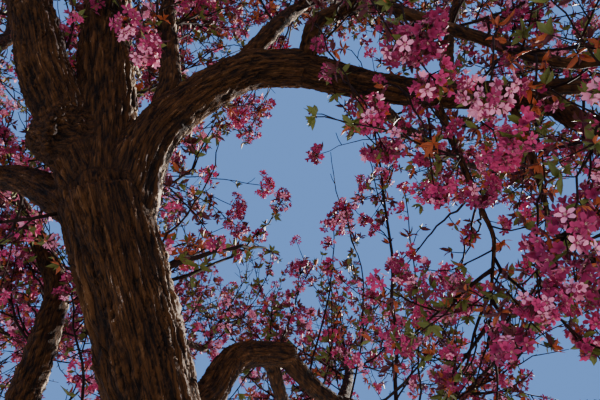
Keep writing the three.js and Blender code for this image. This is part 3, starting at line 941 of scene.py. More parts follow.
@dataclass(eq=False)
class Space:
    """The space one mass keeps to: a flattened ball, cut by a plane against each neighbour."""

    limb: Limb  # the limb that carries the mass
    index: int  # the mass's number

    def __post_init__(self) -> None:
        """Place the ball at the tip of the limb."""
        self.reach, self.heart = self.limb.plan.mass[0], self.limb.heart()
        self.radii = self.reach * np.array([1, 1, SPACE_FLATNESS])

    def settle(self, spaces: Sequence[Space]) -> None:
        """Set the planes against the other spaces.

        Args:
            spaces: the spaces of all masses.
        """
        others = [space for space in spaces if space is not self]
        ways = np.array([other.heart - self.heart for other in others])
        shares = np.array([self.reach / (self.reach + other.reach) for other in others])
        self.normals = units(ways)
        self.walls = self.normals @ self.heart + lengths(ways) * shares - SPACE_GAP / 2

    def holds(self, points: Array) -> bool:
        """Return whether all of some points lie in the space."""
        inside = (((points - self.heart) / self.radii) ** 2).sum(1) <= 1
        return bool(inside.all() and (points @ self.normals.T <= self.walls).all())

    def run_from(self, point: Array, along: Array) -> float:
        """Run straight from a point inside to the edge of the space.

        Args:
            point: the point.
            along: which way.

        Returns:
            How far that is.
        """
        p, d = (point - self.heart) / self.radii, along / self.radii
        a, b = d @ d, p @ d
        run = (-b + math.sqrt(max(0.0, b * b - a * (p @ p - 1)))) / a
        closing = self.normals @ along
        near = closing > 1e-6
        if near.any():
            run = min(run, float(((self.walls - self.normals @ point)[near] / closing[near]).min()))
        return max(0.0, run)


class Wood:
    """Short straight lengths of every limb, which twigs keep clear of."""

    def __init__(self, limbs: dict[str, Limb]) -> None:
        """Cut the limbs into lengths.

        Args:
            limbs: all limbs by name.
        """
        self.boughs = OpenBoughs(limbs)
        rows = []
        for limb in limbs.values():
            count = max(WOOD_LEAST, math.ceil(limb.line.length / WOOD_STEP))
            shares = np.linspace(0, 1, count + 1)
            points, radius = limb.line.many(shares), limb.radius(shares)
            wide, owners = np.maximum(radius[:-1], radius[1:]), [limb.name] * count
            rows.append((points[:-1], points[1:], wide, owners, np.arange(count) >= count - 2))
        columns = (np.concatenate(column) for column in zip(*rows))
        self.start, end, self.radius, self.owners, self.at_tip = columns
        self.way = end - self.start
        self.way_sq = (self.way**2).sum(1)

    def clear(self, start: Array, end: Array, radius: float, counts: Array) -> bool:
        """Measure a straight length against the wood.

        Args:
            start: where it starts.
            end: where it ends.
            radius: its radius.
            counts: which lengths of wood count.

        Returns:
            Whether it keeps off them all.
        """
        u = end - start
        v, w = self.way[counts], start - self.start[counts]
        uu, vv = u @ u, self.way_sq[counts]
        uv, uw, vw = v @ u, w @ u, (v * w).sum(1)
        spread = uu * vv - uv**2
        nearest = np.clip((uv * vw - vv * uw) / np.maximum(spread, 1e-18), 0, 1)
        s = np.where(spread > 1e-9 * uu * vv, nearest, 0)
        t = np.clip((uv * s + vw) / vv, 0, 1)
        s = np.clip((uv * t - uw) / uu, 0, 1)
        gap = lengths(w + s[:, None] * u - t[:, None] * v)
        return bool((gap > self.radius[counts] + radius + LIMB_CLEARANCE).all())


class Tint(Enum):
    """The tints of blossom, dealt out by spray."""

    DEEP = "deep"
    ROSE = "rose"
    PALE = "pale"


class Leaf(Enum):
    """The tints of young leaves, dealt out by spray."""

    BRONZE = "bronze"
    OLIVE = "olive"
    MAROON = "maroon"


@dataclass
class Strand:
    """One twig."""

    points: Array  # points along it
    radii: Array  # its radii there

    def __post_init__(self) -> None:
        """Measure the twig."""
        self.run = run_along(self.points)
        self.length = float(self.run[-1])

    def at(self, share: float) -> tuple[Array, Array]:
        """Find a place on the twig.

        Args:
            share: share of its length.

        Returns:
            The point, and the way of the twig there.
        """
        i = min(int(np.searchsorted(self.run, share * self.length, side="right")) - 1, len(self.run) - 2)
        way = self.points[i + 1] - self.points[i]
        part = (share * self.length - self.run[i]) / (self.run[i + 1] - self.run[i])
        return self.points[i] + way * part, unit(way)

    def radius(self, share: float) -> float:
        """Return the radius at a share of the length."""
        return float(np.interp(share * self.length, self.run, self.radii))


@dataclass(frozen=True)
class TwigRule:
    """How twigs of one order stand on what carries them."""

    spacing: float  # distance from twig to twig
    first: float  # share of the carrier where the first one stands
    pitch: Pair  # least and most lean away from the carrier
    length: Pair  # least and most length
    carrier_share: float  # most length as a share of the carrier's
    radius: Pair  # radii at base and tip
    steps: int  # straight steps in a twig
    lift: float  # how far a twig turns up over its length
    crook: float  # how crooked it grows


# Twigs on a first twig, slim ones between the first ones, shoots along limbs, and spurs
SIDE_TWIGS = TwigRule(0.1, 0.12, (38, 76), (0.12, 0.42), 0.7, (0.0046, 0.0026), 4, 0.36, 0.17)
BETWEEN_TWIGS = TwigRule(0.13, 0.1, (35, 88), (0.3, 0.95), 2.0, (0.0072, 0.003), 8, 0.3, 0.13)
LIMB_SHOOTS = TwigRule(0.22, 0.16, (48, 86), (0.3, 0.85), 2.0, (0.0078, 0.003), 8, 0.5, 0.14)
SPURS = TwigRule(0.074, 0.14, (34, 78), (0.018, 0.09), 0.5, (0.0028, 0.002), 2, 0.2, 0.16)


@dataclass(frozen=True)
class Shoot:
    """One shoot with a place of its own in the view from below."""

    limb: str  # the limb that it springs from
    share: float  # where along that limb
    end: Triple  # where it ends
    bow: Triple = (0, 0, 0)  # how far its middle stands off the straight line, as x, y and z
    ball: float = 0.0  # radius of the ball of blossom or leaves at its end, or 0 for none
    tint: Tint | Leaf = Tint.ROSE  # tint of that ball
    radius: Pair = (0.006, 0.0028)  # radii at base and tip
    bushy: float = 0.0  # distance from one side twig to the next, or 0 for none


LONE_SHOOTS = (
    Shoot("arched_arm_outer", 0.4, (1.02, -0.84, 2.3), (0.05, -0.1, 0.1), 0.085, Tint.PALE),
    Shoot("arched_arm_outer", 0.45, (1.1, -0.75, 2.2), (0.1, -0.05, 0.05), 0.06),
    Shoot("arched_arm", 0.7, (0.87, -0.88, 2.55), (0, -0.1, 0.1), 0.1, Tint.DEEP),
    Shoot("arched_arm", 0.4, (0.7, -0.62, 2.5), (-0.05, -0.08, 0.1), 0.075),
    Shoot("arched_arm", 0.75, (0.87, -0.84, 2.4), (0, -0.1, 0.1), 0.065),
    Shoot("arched_arm", 0.6, (0.81, -0.84, 2.58), (0, -0.1, 0.08), 0.06, Tint.DEEP),
    Shoot("right_bough_outer", 0.12, (0.74, -0.55, 2.42), (0, -0.12, 0), 0.075, Tint.DEEP),
    Shoot("right_bough_outer", 0.3, (0.92, -0.4, 2.3), (0.05, -0.15, 0.05), 0.075),
    Shoot("right_bough_outer", 0.45, (1.06, -0.42, 2.25), (0, -0.1, 0.05), 0.07, Tint.DEEP),
    Shoot("right_bough_outer", 0.6, (1.1, -0.6, 2.27), (0, -0.1, 0.05), 0.07),
    Shoot("right_low_arm", 0.75, (1.05, -0.78, 1.82), (0, -0.05, 0.12), 0.1, Tint.DEEP),
    Shoot("right_low_arm", 0.6, (1.2, -0.7, 1.95), (0, -0.05, 0.1), 0.08, Tint.DEEP),
    Shoot("leader", 0.55, (-0.13, -0.86, 2.91), (0, -0.15, 0), 0.05, Tint.DEEP),
    Shoot("leader", 0.55, (-0.08, -0.76, 2.88), (0.05, -0.1, 0.05), 0.06, Tint.DEEP),
    Shoot("rear_left_bough", 0.2, (-1.22, 0.68, 2.8), (-0.05, -0.1, 0.05), 0.12),
    Shoot("rear_left_bough", 0.3, (-1.2, 0.38, 2.7), (0, -0.1, 0.08), 0.1, Tint.DEEP),
    Shoot("rear_left_bough", 0.15, (-1.25, 0.5, 2.55), (0, -0.1, 0.05), 0.11),
    Shoot(
        "rear_left_foot", 0.35, (-0.73, 0.17, 2.36), (0.02, -0.06, 0), 0.05, Tint.DEEP, (0.009, 0.004), 0.22
    ),
    Shoot("riser", 0.4, (0.02, 0.86, 4.35), (0, 0.1, 0.06), 0.15),
    Shoot("riser", 0.5, (0.19, 0.91, 4.28), (0, 0.1, 0.06), 0.15, Tint.DEEP),
    Shoot("riser", 0.45, (0.09, 0.96, 4.12), (0, 0.1, 0.06), 0.15),
    Shoot("riser", 0.4, (-0.08, 0.91, 4.15), (0, 0.1, 0.06), 0.11, Leaf.OLIVE),
    Shoot("riser", 0.3, (0.1, 0.35, 3.62), (0, 0.1, 0.02), 0.07),
    Shoot("riser", 0.5, (0.18, 0.43, 5.0), (0, 0.1, 0.1), bushy=0.1),
    Shoot("riser", 0.65, (0.42, 0.37, 4.6), (0, 0.05, 0.1), bushy=0.1),
    Shoot("riser", 0.8, (0.7, 0.62, 5.1), (0, 0.05, 0.1), bushy=0.1),
    Shoot("riser", 0.9, (0.87, 0.54, 4.7), (0, 0.05, 0.1), bushy=0.1),
    Shoot("riser", 0.35, (0.42, 0.15, 4.41), (0, 0.05, 0.1), bushy=0.14),
    Shoot("upright_arm", 0.4, (-0.02, 0.0, 4.5), (0, 0.1, 0.1), bushy=0.14),
    Shoot("upright_arm", 0.5, (0.13, 0.05, 4.34), (0, 0.1, 0.1), bushy=0.14),
    Shoot("upright_arm", 0.6, (-0.2, 0.3, 4.5), (0, 0.1, 0.1), bushy=0.1),
    Shoot("upright_arm", 0.75, (-0.1, 0.42, 4.8), (0, 0.1, 0.1), bushy=0.1),
    Shoot("slim_riser", 0.4, (1.47, 0.27, 4.23), (0, 0.05, 0.1), bushy=0.1),
    Shoot("slim_riser", 0.7, (1.94, 0.36, 4.45), (0, 0.05, 0.1), bushy=0.1),
    Shoot("right_high_arm", 0.1, (2.16, 0.25, 4.09), (0, 0.05, 0.1), bushy=0.1),
    Shoot("right_high_arm", 0.35, (2.23, 0.2, 3.65), (0, 0.1, 0.05), bushy=0.1),
    Shoot("right_high_arm", 0.6, (2.58, 0.23, 3.95), (0, 0.1, 0.05), bushy=0.1),
    Shoot("hanging_arm", 0.4, (0.55, 0, 2.88), (0, -0.03, 0.04), 0.03, Tint.DEEP, (0.004, 0.002)),
    Shoot(
        "low_bough_outer", 0.8, (0.87, -0.02, 3.1), (0.04, 0.05, 0), 0.05, Tint.ROSE, (0.012, 0.005), 0.17
    ),
    Shoot("low_bough_outer", 0.5, (0.67, 0.55, 2.83), (0.1, 0, 0.05), 0.09, Tint.DEEP, bushy=0.25),
    Shoot("low_bough_outer", 0.95, (1.0, 0.3, 2.75), (0.03, 0.05, 0), radius=(0.007, 0.003)),
    Shoot("low_bough", 0.9, (0.35, 1.0, 2.72), (0, 0.1, 0), 0.12, Tint.DEEP, (0.007, 0.003), 0.2),
    Shoot("low_bough_outer", 0.2, (0.6, 0.62, 2.8), (0.05, 0, 0.05), 0.08, Tint.ROSE, (0.006, 0.003)),
    Shoot("rear_bough", 0.75, (-0.08, 0.93, 3.32), (0, 0, 0.06), 0.12, Tint.DEEP),
    Shoot("rear_bough", 0.85, (0.14, 0.94, 3.48), (0, 0, 0.06), 0.11),
    Shoot("rear_bough", 0.7, (-0.05, 0.9, 3.12), (0, 0, 0.1), 0.08, Tint.DEEP),
    Shoot("trunk", 0.86, (0.22, 0.35, 2.55), (0.05, -0.05, 0.04), radius=(0.014, 0.006)),
    Shoot("trunk", 0.86, (-0.19, 0.36, 2.66), (0.03, -0.05, 0.03), 0.11, Leaf.BRONZE),
    Shoot("trunk", 0.86, (0.02, 0.46, 2.66), (0.04, -0.05, 0.03), 0.1, Leaf.BRONZE),
    Shoot("trunk", 0.86, (0.05, -0.1, 2.95), (0.06, 0, -0.04)),
    Shoot("trunk", 0.84, (0.3, 0.6, 3.05), (0.02, 0, -0.12), 0.07, Tint.DEEP, (0.009, 0.004)),
    Shoot("hanging_arm", 0.85, (0.88, 0.2, 2.29), (0, 0.05, 0.04), 0.085, Tint.DEEP),
    Shoot("hanging_arm", 0.95, (1.11, 0.24, 2.23), (0.05, 0, 0.05), 0.1),
    Shoot("hanging_arm", 0.9, (1.11, 0.31, 2.13), (0, 0.06, 0.03), 0.075, Tint.DEEP),
    Shoot("low_bough_outer", 0.75, (0.97, 0.55, 2.15), (0.05, 0.05, 0), 0.07),
    Shoot("outer_hanging_arm", 0.9, (1.15, -0.33, 1.84), (-0.03, -0.08, 0.03), 0.07),
    Shoot("right_low_arm", 0.55, (1.3, -0.3, 1.88), (0.05, 0.06, 0.08), 0.09, Tint.DEEP),
    Shoot("right_low_arm", 0.6, (1.37, -0.16, 1.77), (0.08, 0.05, 0.08), 0.08, Tint.DEEP),
)


@dataclass
class Spray:
    """Short shoots that share their tints."""

    tint: Tint  # tint of most of their blossom
    leaf: Leaf  # tint of most of their leaves
    bloom: float  # share of them that carry blossom
    ball: bool = False  # whether they stand in a ball, which is never bare
    # Where each of them ends, which way, and whether it carries blossom or leaves alone
    shoots: list[tuple[Array, Array, bool]] = field(default_factory=list)


class Growth:
    """Twigs that grow on what carries them, each order by its rule, and end in clusters."""

    # Room for the cluster at a tip and about the lookout, and how far a twig runs with nothing in its way
    CLUSTER_ROOM = 0.05
    EYE_ROOM = 0.62
    RUN = 0.0
    # How far a twig starts out from the middle of what carries it, as a share of that one's radius
    SUNK = 0.85
    # Shares of bloom and how often each is dealt, then how often each tint is
    BLOOM_SHARES = ((0.06, 0.3, 0.75), (0.42, 0.3, 0.28))
    TINT_SHARES = (0.52, 0.35, 0.13)
    LEAF_SHARES = (0.24, 0.38, 0.38)
    # Painted shade: towards the sun's side fewer shoots carry blossom, so the darker leaves there stand for
    # the shade on that side of the crown. Blossom lost for each metre that way, up to a distance
    SUNNY_WAY = direction(15, 0)
    SUNNY_LOSS = 0.28
    SUNNY_REACH = 2.5
    # Furthest place on a carrier, how much less twigs lean there, and how a last twig and a last spur lean
    LAST_SHARE = 0.995
    LEAN_LOSS = 0.4
    LAST_PITCHES = (6, 8)
    TURN_SPREAD = 20
    LENGTH_SHARES = (0.6, 1)
    ROOM_SHARE = 0.95
    # Spurs shift along their carrier, most of them are short, and a short one is straight
    SPUR_SHIFT = 0.3
    SPUR_FIRST = 0.05
    SPUR_SKEW = 2.2
    STRAIGHT_SPUR = 0.045

    def __init__(self, wood: Wood, counts: Array, seed: int) -> None:
        """Start with no twigs.

        Args:
            wood: the lengths of all limbs.
            counts: which of them these twigs keep clear of.
            seed: seed of every draw here.
        """
        self.wood, self.counts = wood, counts
        self.rng = np.random.default_rng(seed)
        self.strands: list[Strand] = []
        self.sprays: list[Spray] = []

    def holds(self, points: Array) -> bool:
        """Return whether these twigs may grow through all of some points, which are to be off the lookout."""
        return bool((lengths(points - LOOKOUT) > self.EYE_ROOM).all())

    def room(self, root: Array, along: Array) -> float:
        """Return how far a twig may run from its root, with its cluster."""
        return self.RUN + self.CLUSTER_ROOM

    def fits(self, points: Array, start: Array, end: Array, radius: float) -> bool:
        """Look whether a twig may grow.

        Args:
            points: what it grows through.
            start: where its free part starts.
            end: where it ends.
            radius: its radius.

        Returns:
            Whether it keeps to where it may grow, out of the windows and off the wood.
        """
        if self.wood.boughs.hidden_by(points) or not self.holds(points):
            return False
        if any(window.holds(points) for window in WINDOWS):
            return False
        return self.wood.clear(start, end, radius, self.counts)

    def grown(
        self, root: Array, along: Array, length: float, rule: TwigRule, tries: int = TRIES, steps: int = 0
    ) -> list[Strand]:
        """Grow a crooked twig that turns up a little, shorter at each try until it fits.

        Args:
            root: where it starts.
            along: which way it starts.
            length: its length.
            rule: the rule of its order.
            tries: how often it is tried.
            steps: its straight steps, if not the rule's.

        Returns:
            The twig, or nothing.
        """
        steps = steps or rule.steps
        for _ in range(tries):
            if length < rule.length[0] / 2:
                break
            points, way = [root], along
            for _ in range(steps):
                way = unit(way + UP * rule.lift / steps + self.rng.normal(0, rule.crook, 3))
                points.append(points[-1] + way * length / steps)
            tip = points[-1] + way * self.CLUSTER_ROOM
            free = root + along * min(ROOT_FREE, length) / 2
            if self.fits(np.array([*points[1:], tip]), free, tip, rule.radius[0]):
                return [Strand(np.array(points), np.linspace(*rule.radius, steps + 1))]
            length *= TWIG_SHORTENING
        return []

    def round_about(self, carrier: Strand, rule: TwigRule, ends: bool) -> list[Strand]:
        """Grow twigs round a carrier.

        Args:
            carrier: what they stand on.
            rule: their rule.
            ends: whether the last one carries the carrier on.

        Returns:
            The twigs that fit.
        """
        twigs = []
        count = max(1, round(carrier.length * (1 - rule.first) / rule.spacing))
        start = self.rng.uniform(0, 360)
        spread = self.TURN_SPREAD
        for i in range(count + ends):
            share = min(self.LAST_SHARE, rule.first + (1 - rule.first) * i / count)
            root, axis = carrier.at(share)
            pitch = self.LAST_PITCHES[0]
            if i < count:
                pitch = self.rng.uniform(*rule.pitch) * (1 - self.LEAN_LOSS * share)
            along = leaning(axis, pitch, start + GOLDEN_ANGLE * i + self.rng.uniform(-spread, spread))
            root = root + along * carrier.radius(share) * self.SUNK
            most = min(rule.length[1], carrier.length * rule.carrier_share)
            room = (self.room(root, along) - self.CLUSTER_ROOM) * self.ROOM_SHARE
            twigs += self.grown(root, along, min(most * self.rng.uniform(*self.LENGTH_SHARES), room), rule)
        return twigs

    def spurs(self, carrier: Strand, spray: Spray, spacing: float) -> None:
        """Set short shoots along a twig, each of which ends in a cluster.

        Args:
            carrier: the twig.
            spray: what the clusters belong to.
            spacing: distance from one to the next.
        """
        rule, shift = SPURS, self.SPUR_SHIFT
        count = max(1, round(carrier.length * (1 - rule.first) / spacing))
        start = self.rng.uniform(0, 360)
        for i in range(count + 1):
            last = i == count
            share = rule.first + (1 - rule.first) * (i + self.rng.uniform(-shift, shift)) / count
            root, axis = carrier.at(1.0 if last else max(self.SPUR_FIRST, min(self.LAST_SHARE, share)))
            pitch = self.LAST_PITCHES[1] if last else self.rng.uniform(*rule.pitch)
            along = leaning(axis, pitch, start + GOLDEN_ANGLE * i)
            most = min(rule.length[1], carrier.length * rule.carrier_share)
            length = lerp(rule.length[0], most, self.rng.random() ** self.SPUR_SKEW)
            steps = 1 if length < self.STRAIGHT_SPUR else rule.steps
            for spur in self.grown(root, along, length, rule, 1, steps):
                self.strands.append(spur)
                place, way = spur.points[-1], spur.at(1.0)[1]
                # Less blossom towards the sun's side, a painted shade of darker leaves there
                loss = self.SUNNY_LOSS * min(self.SUNNY_REACH, max(0.0, place @ self.SUNNY_WAY))
                spray.shoots.append((place, way, bool(self.rng.random() < spray.bloom * (1 - loss))))

    def spray(self) -> Spray:
        """Deal out the tints and the share of bloom of a new spray.

        Returns:
            The spray.
        """
        tint = list(Tint)[int(self.rng.choice(3, p=self.TINT_SHARES))]
        leaf = list(Leaf)[int(self.rng.choice(3, p=self.LEAF_SHARES))]
        spray = Spray(tint, leaf, float(self.rng.choice(self.BLOOM_SHARES[0], p=self.BLOOM_SHARES[1])))
        self.sprays.append(spray)
        return spray

    def carry_on(self, carriers: Sequence[Strand], rule: TwigRule = SIDE_TWIGS) -> None:
        """Grow side twigs with all their spurs, and carriers' own spurs further apart.

        Args:
            carriers: what they grow on.
            rule: the side twigs' rule.
        """
        for carrier in carriers:
            self.spurs(carrier, self.spray(), SPURS.spacing * 2)
            for twig in self.round_about(carrier, rule, ends=True):
                self.strands.append(twig)
                self.spurs(twig, self.spray(), SPURS.spacing)


class Mass(Growth):
    """The twigs of one foliage mass, grown by the rule of its solid and on to finer ones."""

    SEED = 7100
    STEM_POINTS = 12
    FIRST_BOW = 0.035
    FIRST_POINTS = 9
    FIRST_TAPER = (0.34, 0.8)
    ONWARD_SHARE = 0.9

    def __init__(self, space: Space, wood: Wood) -> None:
        """Start the mass at the tip of its limb.

        Args:
            space: its space.
            wood: the lengths of all limbs, of which those at that tip don't count.
        """
        counts = (wood.owners != space.limb.name) | ~wood.at_tip
        super().__init__(wood, counts, self.SEED + space.index)
        self.space = space

    def holds(self, points: Array) -> bool:
        """Return whether all of some points lie in the mass's space."""
        return self.space.holds(points)

    def room(self, root: Array, along: Array) -> float:
        """Return how far it is to the edge of the mass's space."""
        return self.space.run_from(root, along)

    def _bowed(self, root: Array, along: Array, length: float) -> Strand:
        """Bow a first twig a little.

        Args:
            root: where it starts.
            along: which way it runs.
            length: its length.

        Returns:
            The twig.
        """
        share = np.linspace(0, 1, self.FIRST_POINTS)
        side = leaning(along, 90, self.rng.uniform(0, 360))
        waves = np.sin(share * math.pi) + np.sin(share * 3 * math.pi) / 3
        points = root + np.outer(share * length, along)
        points += np.outer(waves * self.FIRST_BOW * length, side)
        tip, fall = self.FIRST_TAPER
        return Strand(points, TWIG_RADIUS * lerp(1, tip, share**fall))

    def _first_twigs(self, stem: SmoothLine) -> list[Strand]:
        """Grow the first twigs of the mass, which the solid has too, each shortened until it fits.

        Args:
            stem: what they stand on.

        Returns:
            The twigs that fit.
        """
        twigs = []
        for i in range(TWIG_COUNT):
            random = Seeded(self.space.index * 100 + i)
            last = i == TWIG_COUNT - 1
            share = TWIG_END if last else lerp(*TWIG_SPREAD, i / (TWIG_COUNT - 2))
            root, axis = stem.at(share), stem.axis(share)
            pitch = TWIG_PITCH + TWIG_PITCH_SPREAD * (random() - 0.5) - TWIG_PITCH_FALL * share
            turn = GOLDEN_ANGLE * i + TWIG_TURN_SPREAD * random() + MASS_TURN * self.space.index
            along = leaning(axis, TWIG_END_PITCH if last else pitch, turn)
            ring = [root + leaning(along, 90, turn) * TWIG_RADIUS for turn in (0, 120, 240)]
            length = min(TWIG_LONGEST, self.room(root, along) * TWIG_REACH_SHARE)
            for _ in range(TRIES):
                end = root + along * length
                free = root + along * min(ROOT_FREE, length / 3)
                if self.fits(np.array([*ring, end]), free, end, TWIG_RADIUS):
                    twigs.append(self._bowed(root, along, length))
                    break
                length *= TWIG_SHORTENING
        return twigs

    def grow(self) -> None:
        """Grow every twig of the mass and note where its clusters go."""
        stem = self.space.limb.stem()
        shares = np.linspace(0, 1, self.STEM_POINTS)
        carrier = Strand(stem.many(shares), self.space.limb.radius(1) * lerp(*STEM_GIRTH_SHARES, shares))
        carriers = self._first_twigs(stem)
        for twig in carriers[:]:
            root, along = twig.at(1.0)
            length = self.room(root, along) * self.ONWARD_SHARE - self.CLUSTER_ROOM
            for onward in self.grown(root, along, length, BETWEEN_TWIGS):
                onward.radii = np.linspace(twig.radii[-1], BETWEEN_TWIGS.radius[1], len(onward.radii))
                carriers.append(onward)
        carriers += self.round_about(carrier, BETWEEN_TWIGS, ends=False)
        self.strands += carriers
        self.carry_on([carrier, *carriers])


class Shoots(Growth):
    """Slender shoots along one limb, between its base and the mass at its tip."""

    SEED = 8200
    RUN = LIMB_SHOOTS.length[1]
    LOWEST = 1.75
    LIMB_POINTS = 16

    def __init__(self, limb: Limb, index: int, wood: Wood, low: Array, high: Array) -> None:
        """Start the shoots of a limb.

        Args:
            limb: what they stand on.
            index: its place in the plan.
            wood: the lengths of all limbs, of which its own don't count.
            low: least corner of where they may grow.
            high: greatest corner of where they may grow.
        """
        super().__init__(wood, wood.owners != limb.name, self.SEED + index)
        self.limb, self.high = limb, high
        self.low = np.maximum(low, (-np.inf, -np.inf, self.LOWEST))

    def holds(self, points: Array) -> bool:
        """Return whether all of some points lie inside the crown, and off the lookout."""
        return bool((points > self.low).all() and (points < self.high).all()) and super().holds(points)

    def grow(self) -> None:
        """Grow the limb's shoots with all that they carry."""
        shares = np.linspace(0, 1, self.LIMB_POINTS)
        carrier = Strand(self.limb.line.many(shares), self.limb.radius(shares))
        shoots = self.round_about(carrier, LIMB_SHOOTS, ends=False)
        self.strands += shoots
        self.carry_on(shoots)


class LoneShoots(Growth):
    """The shoots with places of their own, with what they carry."""

    SEED = 8300
    RUN = SIDE_TWIGS.length[1]
    POINTS = 12
    CROOK = 0.006
    BALL_SPURS = 68
    BALL_PITCH = 85
    BALL_HEART = 0.6
    APART = 1.7

    def __init__(self, limbs: dict[str, Limb], wood: Wood) -> None:
        """Start with none grown."""
        super().__init__(wood, np.zeros(len(wood.owners), bool), self.SEED)
        self.limbs = limbs

    def fits(self, points: Array, start: Array, end: Array, radius: float) -> bool:
        """Return whether points keep off the lookout, as these shoots may cross a window."""
        return self.holds(points)

    def _strand(self, plan: Shoot) -> Strand:
        """Bow a shoot, a little crooked.

        Args:
            plan: its sizes.

        Returns:
            The shoot.
        """
        limb = self.limbs[plan.limb]
        start, end = limb.line.at(plan.share), np.array(plan.end)
        start = start + unit(end - start) * limb.radius(plan.share) * self.SUNK
        share = np.linspace(0, 1, self.POINTS)[:, None]
        points = start + (end - start) * share + np.array(plan.bow) * 4 * share * (1 - share)
        points[1:-1] += self.rng.normal(0, self.CROOK, (self.POINTS - 2, 3))
        return Strand(points, np.linspace(*plan.radius, self.POINTS))

    def _ball(self, shoot: Strand, plan: Shoot) -> None:
        """Set a ball of blossom or leaves round the end of a shoot.

        Args:
            shoot: the shoot.
            plan: its sizes.
        """
        spray, leafy = self.spray(), isinstance(plan.tint, Leaf)
        setattr(spray, "leaf" if leafy else "tint", plan.tint)
        spray.ball = True
        tip, way = shoot.at(1.0)
        count = max(3, round(self.BALL_SPURS * plan.ball))
        for i in range(count):
            along = leaning(way, self.BALL_PITCH * (1 - i / count), i * GOLDEN_ANGLE)
            spur = Strand(np.array([tip, tip + along * plan.ball * self.BALL_HEART]), np.array(SPURS.radius))
            self.strands.append(spur)
            spray.shoots.append((spur.points[-1], along, not leafy))

    def grow(self) -> None:
        """Grow every one of these shoots."""
        for plan in LONE_SHOOTS:
            shoot = self._strand(plan)
            self.strands.append(shoot)
            if plan.bushy:
                self.carry_on([shoot], replace(SIDE_TWIGS, spacing=plan.bushy))
            else:
                self.spurs(shoot, self.spray(), SPURS.spacing * self.APART)
            if plan.ball:
                self._ball(shoot, plan)


class Graph:
    """A node tree, built one node at a time."""

    def __init__(self, tree: NodeTree) -> None:
        """Wrap an empty node tree."""
        self.tree = tree

    def feed(self, node: Node, *values: object, **named: object) -> None:
        """Set or link a node's inputs.

        Args:
            node: the node.
            values: values or sockets for its inputs in order.
            named: values or sockets for inputs by name, with _ for a blank.
        """
        sockets = [socket for socket in node.inputs if socket.enabled]
        pairs = list(zip(sockets, values))
        for key, value in named.items():
            name = key.replace("_", " ")
            pairs.append((next(socket for socket in sockets if socket.name == name), value))
        for socket, value in pairs:
            if isinstance(value, NodeSocket):
                self.tree.links.new(value, socket)
            else:
                socket.default_value = value

    def add(self, kind: str, *values: object, **named: object) -> Node:
        """Add a node.

        Args:
            kind: Blender's name for the node.
            values: values or sockets for its inputs in order.
            named: its own properties, all in small letters, and values or sockets for inputs by name.

        Returns:
            The node.
        """
        node = self.tree.nodes.new(kind)
        for key in [key for key in named if key.islower()]:
            setattr(node, key, named.pop(key))
        self.feed(node, *values, **named)
        return node

    def value(self, kind: str, *values: object, **named: object) -> NodeSocket:
        """Add a node and return its first live output."""
        node = self.add(kind, *values, **named)
        return next(socket for socket in node.outputs if socket.enabled)

    def calc(self, operation: str, *values: object) -> NodeSocket:
        """Return the result of a math operation."""
        return self.value("ShaderNodeMath", *values, operation=operation)

    def ranged(self, *limits: object) -> NodeSocket:
        """Return a value moved, and kept, from its least and most to a new least and most."""
        return self.value("ShaderNodeMapRange", *limits, clamp=True)

    def random(self, least: object, most: object, seed: object) -> NodeSocket:
        """Return a number for each item between the least and the most."""
        return self.value("FunctionNodeRandomValue", Min=least, Max=most, Seed=seed)

    def turned(self, tilt: object, spin: object) -> NodeSocket:
        """Return a rotation by a tilt about X and then a spin about Z."""
        angles = self.value("ShaderNodeCombineXYZ", tilt, 0.0, spin)
        return self.value("FunctionNodeEulerToRotation", angles)

    def dressed(self, geometry: NodeSocket, finish: NodeSocket) -> NodeSocket:
        """Return a geometry with its instances realized and its material set."""
        whole = self.value("GeometryNodeRealizeInstances", geometry)
        return self.value("GeometryNodeSetMaterial", whole, True, finish)


SOCKET_KINDS = {int: "Int", float: "Float", tuple: "Color"}


def group(kind: str, name: str, inputs: dict[str, object], **outputs: str) -> tuple:
    """Start a node group.

    Args:
        kind: Geometry or Shader.
        name: the group's name.
        inputs: default value of each input by name, or its kind for one that has none.
        outputs: kind of each output by name.

    Returns:
        The graph, its inputs by name, and its output node.
    """
    tree = bpy.data.node_groups.new(name, f"{kind}NodeTree")
    for title, default in inputs.items():
        bare = isinstance(default, str)
        sort = default if bare else SOCKET_KINDS[type(default)]
        socket = tree.interface.new_socket(title, in_out="INPUT", socket_type=f"NodeSocket{sort}")
        if not bare:
            socket.default_value = default
    for title, sort in outputs.items():
        tree.interface.new_socket(title, in_out="OUTPUT", socket_type=f"NodeSocket{sort}")
    graph = Graph(tree)
    return graph, graph.add("NodeGroupInput").outputs, graph.add("NodeGroupOutput")


def grown_by(tree: NodeTree, thing: Object, **values: object) -> Mesh:
    """Run a geometry tree on an object and take the plain mesh.

    Args:
        tree: the geometry tree.
        thing: the object that it starts from, which is used up.
        values: the tree's inputs by name, with _ for a blank.

    Returns:
        The mesh.
    """
    modifier = thing.modifiers.new("Grown", "NODES")
    modifier.node_group = tree
    sockets = [item for item in tree.interface.items_tree if item.in_out == "INPUT"]
    for name, value in values.items():
        title = name.replace("_", " ")
        modifier[next(item.identifier for item in sockets if item.name == title)] = value
    return taken(thing)


def twig_tree() -> NodeTree:
    """Build the geometry tree that sweeps a tapered twig along each chain of edges.

    Returns:
        The tree.
    """
    inputs = {"Chains": "Geometry", "Sides": 3, "Bark": "Material"}
    graph, given, end = group("Geometry", "swept_twigs", inputs, Twigs="Geometry")
    curve = graph.value("GeometryNodeMeshToCurve", given["Chains"])
    ring = graph.value("GeometryNodeCurvePrimitiveCircle", Resolution=given["Sides"], Radius=1.0)
    girth = graph.value("GeometryNodeInputNamedAttribute", "girth", data_type="FLOAT")
    swept = graph.value("GeometryNodeCurveToMesh", curve, ring, girth, True)
    smooth = graph.value("GeometryNodeSetShadeSmooth", swept, True, True)
    graph.feed(end, Twigs=graph.dressed(smooth, given["Bark"]))
    return graph.tree


